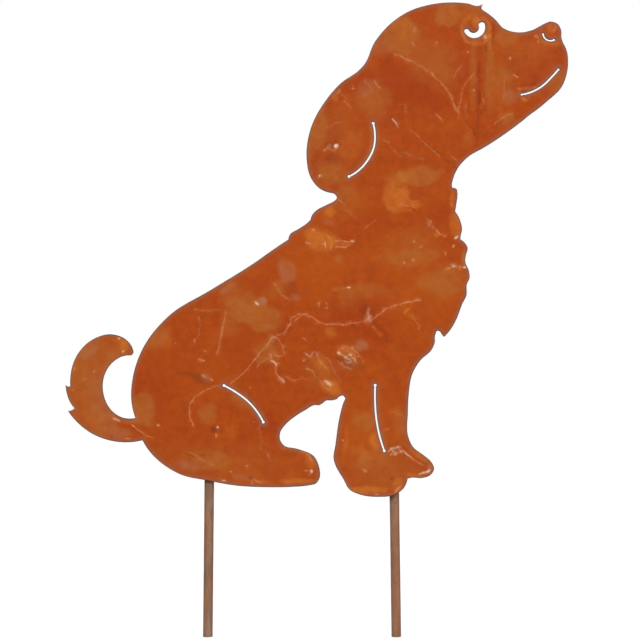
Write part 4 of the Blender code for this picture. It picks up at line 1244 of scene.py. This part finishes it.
def ranged(tree, value, low, high, to_low=0.0, to_high=1.0):
    """A value between low and high as one between to_low and to_high."""
    inputs = {"Value": value, "From Min": low, "From Max": high, "To Min": to_low, "To Max": to_high}
    return add_node(tree, "ShaderNodeMapRange", inputs, interpolation_type="SMOOTHSTEP").outputs["Result"]


def noise(tree, vector, size, detail=3.0, roughness=0.55, distortion=0.0):
    """Noise whose blotches are about this large."""
    inputs = {"Vector": vector, "Scale": 1 / size, "Detail": detail, "Roughness": roughness}
    return add_node(tree, "ShaderNodeTexNoise", {**inputs, "Distortion": distortion}).outputs["Fac"]


def new_group(name, inputs, outputs):
    """An empty shader node group with these sockets, and its two end nodes."""
    group = bpy.data.node_groups.new(name, "ShaderNodeTree")
    for label, kind in inputs:
        group.interface.new_socket(label, in_out="INPUT", socket_type=kind)
    for label, kind in outputs:
        group.interface.new_socket(label, in_out="OUTPUT", socket_type=kind)
    return group, group.nodes.new("NodeGroupInput"), group.nodes.new("NodeGroupOutput")


def rust_colour_group():
    """Rust in three colours: clouds of the deep and the light one over the main one, with fine mottling."""
    group, given, result = new_group(
        "Rust colour",
        [
            ("Vector", "NodeSocketVector"), ("Deep", "NodeSocketColor"), ("Main", "NodeSocketColor"),
            ("Light", "NodeSocketColor"), ("Mottling", "NodeSocketFloat"),
        ],
        [("Colour", "NodeSocketColor")],
    )
    vector = given.outputs["Vector"]
    clouds = noise(group, vector, 0.045, 3.0, 0.5, 0.4)
    deep = ranged(group, clouds, 0.50, 0.36, 0.0, 0.8)
    light = ranged(group, noise(group, vector, 0.030, 2.0, 0.5, 0.6), 0.54, 0.72, 0.0, 0.5)
    base = mixed(group, deep, given.outputs["Main"], given.outputs["Deep"])
    base = mixed(group, light, base, given.outputs["Light"])
    fine = ranged(group, noise(group, vector, 0.0050, 6.0, 0.72), 0.28, 0.72, -1.0, 1.0)
    shift = times(group, fine, given.outputs["Mottling"])
    lift = add_node(group, "ShaderNodeMath", {0: shift, 1: 1.0}, operation="ADD").outputs[0]
    scaled = add_node(group, "ShaderNodeVectorMath", {0: base, "Scale": lift}, operation="SCALE")
    group.links.new(scaled.outputs[0], result.inputs["Colour"])
    return group


def rust_grain_group():
    """The height of fine rust: grains, and small pits where cells of a Voronoi pattern are darkest."""
    group, given, result = new_group(
        "Rust grain",
        [("Vector", "NodeSocketVector"), ("Pits", "NodeSocketFloat")],
        [("Height", "NodeSocketFloat"), ("Pit", "NodeSocketFloat")],
    )
    vector = given.outputs["Vector"]
    grains = noise(group, vector, 0.0011, 4.0, 0.6)
    cells = add_node(group, "ShaderNodeTexVoronoi", {"Vector": vector, "Scale": 260.0, "Randomness": 1.0})
    rare = ranged(group, noise(group, vector, 0.010, 1.0), 0.55, 0.68)
    pit = times(group, ranged(group, cells.outputs["Distance"], 0.26, 0.12), rare)
    sunk = times(group, pit, given.outputs["Pits"])
    height = add_node(group, "ShaderNodeMath", {0: grains, 1: sunk}, operation="SUBTRACT")
    group.links.new(height.outputs[0], result.inputs["Height"])
    group.links.new(pit, result.inputs["Pit"])
    return group


def shared_group(name, build):
    """The node group of this name, built the first time that it is asked for."""
    return bpy.data.node_groups.get(name) or build()


def new_material(name):
    """A material with a Principled shader, its node tree and the shader."""
    made = bpy.data.materials.new(name)
    made.use_nodes = True
    return made, made.node_tree, made.node_tree.nodes["Principled BSDF"]


def group_node(tree, name, build, inputs):
    return add_node(tree, "ShaderNodeGroup", inputs, node_tree=shared_group(name, build))


def attribute_parts(tree, layer):
    """The three tints that a colour attribute holds."""
    read = add_node(tree, "ShaderNodeAttribute", attribute_name=layer)
    parts = add_node(tree, "ShaderNodeSeparateColor", {"Color": read.outputs["Color"]})
    return [parts.outputs[part] for part in ("Red", "Green", "Blue")]


def clouded_rust(tree, vector, deep, main, light, mottling):
    """The rust colour group over a vector, with its three colours and its mottling."""
    colours = {"Deep": (*deep, 1.0), "Main": (*main, 1.0), "Light": (*light, 1.0)}
    inputs = {"Vector": vector, **colours, "Mottling": mottling}
    return group_node(tree, "Rust colour", rust_colour_group, inputs).outputs["Colour"]


def connect(tree, shader, base, rough, grain, strength, depth):
    """Leads a colour, a roughness and the bumps of a grain, of this strength and depth, to the shader."""
    inputs = {"Strength": strength, "Distance": depth, "Height": grain.outputs["Height"]}
    bump = add_node(tree, "ShaderNodeBump", inputs)
    tree.links.new(base, shader.inputs["Base Color"])
    tree.links.new(rough, shader.inputs["Roughness"])
    tree.links.new(bump.outputs["Normal"], shader.inputs["Normal"])


def sheet_material(look):
    """Rust under clear lacquer, with the tints of the sheet's attributes laid over it one by one."""
    made, tree, shader = new_material("Lacquered rust")
    place = add_node(tree, "ShaderNodeTexCoord").outputs["Object"]
    base = clouded_rust(tree, place, look.deep, look.main, look.light, 0.13)
    broken = ranged(tree, noise(tree, place, 0.0055, 5.0, 0.62), 0.34, 0.62, 0.55, 1.0)
    flaked = ranged(tree, noise(tree, place, 0.0014, 3.0, 0.6), 0.36, 0.58, 0.50, 1.0)
    # Brown holds brown rust and painted reflections of the lights in the lacquer; bright holds bright
    # scratches and painted highlights.
    brown, orange, mauve = attribute_parts(tree, "patches")
    pale, bright, dark = attribute_parts(tree, "marks")
    burnt, rim, deep = attribute_parts(tree, "edges")
    light = attribute_parts(tree, "clouds")[0]
    for mask, tint in (
        (deep, look.deep), (light, look.light), (rim, look.rim),
        (brown, look.brown), (orange, look.orange), (mauve, look.mauve),
    ):
        base = mixed(tree, times(tree, mask, broken), base, tint)
    grain = group_node(tree, "Rust grain", rust_grain_group, {"Vector": place, "Pits": 0.6})
    base = mixed(tree, ranged(tree, grain.outputs["Pit"], 0.0, 1.0, 0.0, 0.12), base, look.dark)
    for mask, tint in ((dark, look.dark), (pale, look.pale), (bright, look.bright)):
        base = mixed(tree, times(tree, mask, flaked), base, tint)
    base = mixed(tree, burnt, base, look.burnt)
    rough = ranged(tree, noise(tree, place, 0.006, 3.0), 0.3, 0.7, 0.42, 0.62)
    rough = add_node(tree, "ShaderNodeMix", {0: burnt, 2: rough, 3: BURNT_ROUGHNESS}).outputs[0]
    connect(tree, shader, base, rough, grain, 0.35, 0.10 * MM)
    shader.inputs["Metallic"].default_value = 0.0
    shader.inputs["Specular IOR Level"].default_value = 0.15
    shader.inputs["Coat Weight"].default_value = look.lacquer
    shader.inputs["Coat Roughness"].default_value = look.lacquer_roughness
    return made


def bar_material(look):
    """Dull brown rust on drawn bar, more orange by the sheet and mauve lower down, with burnt welds."""
    made, tree, shader = new_material("Rusted bar")
    place = add_node(tree, "ShaderNodeTexCoord").outputs["Object"]
    stretch = {"Vector": place, "Scale": (1.0, 1.0, 0.22)}
    drawn = add_node(tree, "ShaderNodeMapping", stretch).outputs["Vector"]
    base = clouded_rust(tree, drawn, look.deep, look.main, look.orange, 0.26)
    streaks = ranged(tree, noise(tree, drawn, 0.0022, 4.0, 0.7), 0.35, 0.65, 0.0, 0.55)
    base = mixed(tree, streaks, base, look.deep)
    burnt, by_sheet, low_down = attribute_parts(tree, "bar_tints")
    patchy = ranged(tree, noise(tree, drawn, 0.007, 3.0), 0.35, 0.6)
    for mask, tint, strength in ((low_down, look.mauve, 0.75), (by_sheet, look.orange, 0.45)):
        base = mixed(tree, times(tree, times(tree, mask, strength), patchy), base, tint)
    base = mixed(tree, times(tree, burnt, 0.85), base, look.weld)
    grain = group_node(tree, "Rust grain", rust_grain_group, {"Vector": place, "Pits": 0.9})
    base = mixed(tree, ranged(tree, grain.outputs["Pit"], 0.0, 1.0, 0.0, 0.5), base, look.deep)
    rough = ranged(tree, noise(tree, drawn, 0.004, 3.0), 0.3, 0.7, 0.55, 0.80)
    connect(tree, shader, base, rough, grain, 0.5, 0.12 * MM)
    shader.inputs["Specular IOR Level"].default_value = 0.3
    shader.inputs["Coat Weight"].default_value = look.lacquer
    shader.inputs["Coat Roughness"].default_value = 0.35
    return made


def backdrop_material(look):
    """White that glows, so that it stays even, and takes only the faintest of shadows."""
    made, tree, shader = new_material("Studio white")
    sees = add_node(tree, "ShaderNodeLightPath").outputs["Is Camera Ray"]
    place = add_node(tree, "ShaderNodeTexCoord").outputs["Object"]
    reach = add_node(tree, "ShaderNodeVectorMath", {0: place}, operation="LENGTH").outputs["Value"]
    far = ranged(tree, reach, 0.25, 1.1)
    glow = add_node(tree, "ShaderNodeMapRange", {"Value": sees, "To Min": look.horizon, "To Max": 1.0})
    shader.inputs["Base Color"].default_value = (*look.floor, 1.0)
    shader.inputs["Roughness"].default_value = 0.9
    shader.inputs["Specular IOR Level"].default_value = 0.0
    light = add_node(
        tree, "ShaderNodeEmission", {"Color": (*look.floor, 1.0), "Strength": glow.outputs["Result"]}
    )
    share_glow = ranged(tree, far, 0.0, 1.0, 0.72, 1.0)
    mix = add_node(tree, "ShaderNodeMixShader", {0: share_glow, 1: shader.outputs[0], 2: light.outputs[0]})
    tree.links.new(mix.outputs[0], tree.nodes["Material Output"].inputs["Surface"])
    return made


def make_floor(look):
    """A round floor whose rim curves up: rings of points at a radius and height for each step outwards."""
    flat, curve, rise = 3.2, 1.2, 2.6
    rings, sides = 24, 96
    bend = np.linspace(0, np.pi / 2, 12)[1:]
    radii = np.concatenate([np.linspace(0.02, flat, rings), flat + curve * np.sin(bend), [flat + curve]])
    heights = np.concatenate([np.zeros(rings), curve * (1 - np.cos(bend)), [rise]])
    angles = np.linspace(0, 2 * np.pi, sides, endpoint=False)
    x, y = np.outer(radii, np.cos(angles)), np.outer(radii, np.sin(angles))
    z = np.repeat(heights[:, None], sides, axis=1)
    points = np.stack([x, y, z], axis=-1).reshape(-1, 3)
    grid, _, quads = tube_faces(*x.shape)
    mesh = bpy.data.meshes.new("studio_floor")
    mesh.from_pydata(points.tolist(), [], [*quads.tolist(), grid[0].tolist()])
    mesh.shade_smooth()
    floor = bpy.data.objects.new("studio_floor", mesh)
    floor.data.materials.append(backdrop_material(look))
    bpy.context.collection.objects.link(floor)


def add_light(name, place, aim, side, power):
    """A square soft light at a place, turned to what it lights."""
    data = bpy.data.lights.new(name, "AREA")
    data.size = side
    data.energy = power
    light = bpy.data.objects.new(name, data)
    light.location = place
    light.rotation_euler = (Vector(aim) - Vector(place)).to_track_quat("-Z", "Y").to_euler()
    light.visible_camera = False
    bpy.context.collection.objects.link(light)


def make_world(look):
    """Even white for the camera, and light for the surfaces that is weaker from the sides than from above."""
    world = bpy.data.worlds.new("Studio")
    world.use_nodes = True
    tree = world.node_tree
    sees = add_node(tree, "ShaderNodeLightPath").outputs["Is Camera Ray"]
    way = add_node(tree, "ShaderNodeTexCoord").outputs["Generated"]
    up = add_node(tree, "ShaderNodeSeparateXYZ", {0: way}).outputs["Z"]
    steep = add_node(tree, "ShaderNodeMath", {0: up}, operation="ABSOLUTE").outputs[0]
    soft = ranged(tree, steep, 0.30, 0.75, look.horizon, look.ambient)
    strength = add_node(tree, "ShaderNodeMapRange", {"Value": sees, "To Min": soft, "To Max": 1.0})
    tree.nodes["Background"].inputs["Color"].default_value = (*look.floor, 1.0)
    tree.links.new(strength.outputs["Result"], tree.nodes["Background"].inputs["Strength"])
    bpy.context.scene.world = world


def make_camera(look):
    """Level with the middle of the photograph, and as far off as its lens needs to frame the same width."""
    low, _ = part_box("dog_plate")
    data = bpy.data.cameras.new("Photo camera")
    data.lens = look.lens
    camera = bpy.data.objects.new("Photo camera", data)
    middle = on_sheet((PHOTO_SIDE / 2, PHOTO_SIDE / 2))
    distance = look.lens / data.sensor_width * PHOTO_SIDE * PIXEL
    camera.location = (middle[0], low.y - distance, middle[1])
    camera.rotation_euler = (np.pi / 2, 0.0, 0.0)
    bpy.context.collection.objects.link(camera)
    bpy.context.scene.camera = camera


class DOG_OT_sheet(bpy.types.Operator):
    """Build the fine surface of the cut sheet and give it its finish"""

    bl_idname = "rusted_dog.sheet"
    bl_label = "Sheet"

    def execute(self, context):
        look = context.scene.rusted_dog.sheet
        make_sheet(look).data.materials.append(sheet_material(look))
        return {"FINISHED"}


class DOG_OT_stakes(bpy.types.Operator):
    """Build both stakes with their welds and give them their finish"""

    bl_idname = "rusted_dog.stakes"
    bl_label = "Stakes"

    def execute(self, context):
        look = context.scene.rusted_dog.stake
        finish = bar_material(look)
        for seed, name in enumerate(WELD_DEPTHS, start=41):
            make_stake(name, look, seed).data.materials.append(finish)
        return {"FINISHED"}


class DOG_OT_studio(bpy.types.Operator):
    """Build the floor, the lights and the camera"""

    bl_idname = "rusted_dog.studio"
    bl_label = "Studio"

    def execute(self, context):
        look = context.scene.rusted_dog.studio
        context.scene.view_settings.view_transform = "Standard"
        make_world(look)
        make_floor(look)
        aim = (0.0, 0.0, 0.25)
        add_light("Key light", (-1.1, -1.5, 1.5), aim, 1.1, look.key_power)
        add_light("Fill light", (1.5, -1.2, 0.7), aim, 1.2, look.fill_power)
        add_light("Back light", (0.7, 1.6, 1.3), aim, 1.2, look.back_power)
        make_camera(look)
        return {"FINISHED"}


class DOG_PT_panel(bpy.types.Panel):
    """The steps and the settings in the 3D view's sidebar"""

    bl_label = "Rusted Dog"
    bl_idname = "DOG_PT_panel"
    bl_space_type = "VIEW_3D"
    bl_region_type = "UI"
    bl_category = "Rusted Dog"

    def draw(self, context):
        looks = context.scene.rusted_dog
        for operator, look in (
            (DOG_OT_sheet, looks.sheet), (DOG_OT_stakes, looks.stake), (DOG_OT_studio, looks.studio),
        ):
            box = self.layout.box()
            box.operator(operator.bl_idname)
            for name in look.__annotations__:
                box.prop(look, name)


CLASSES = (
    SheetLook, StakeLook, StudioLook, DogLook, DOG_OT_sheet, DOG_OT_stakes, DOG_OT_studio, DOG_PT_panel,
)


def register():
    for kind in CLASSES:
        bpy.utils.register_class(kind)
    bpy.types.Scene.rusted_dog = bpy.props.PointerProperty(type=DogLook)


def unregister():
    del bpy.types.Scene.rusted_dog
    for kind in reversed(CLASSES):
        bpy.utils.unregister_class(kind)


def main():
    register()
    bpy.ops.rusted_dog.studio()
    bpy.ops.rusted_dog.sheet()
    bpy.ops.rusted_dog.stakes()
    bpy.context.view_layer.update()


if __name__ == "__main__":
    main()
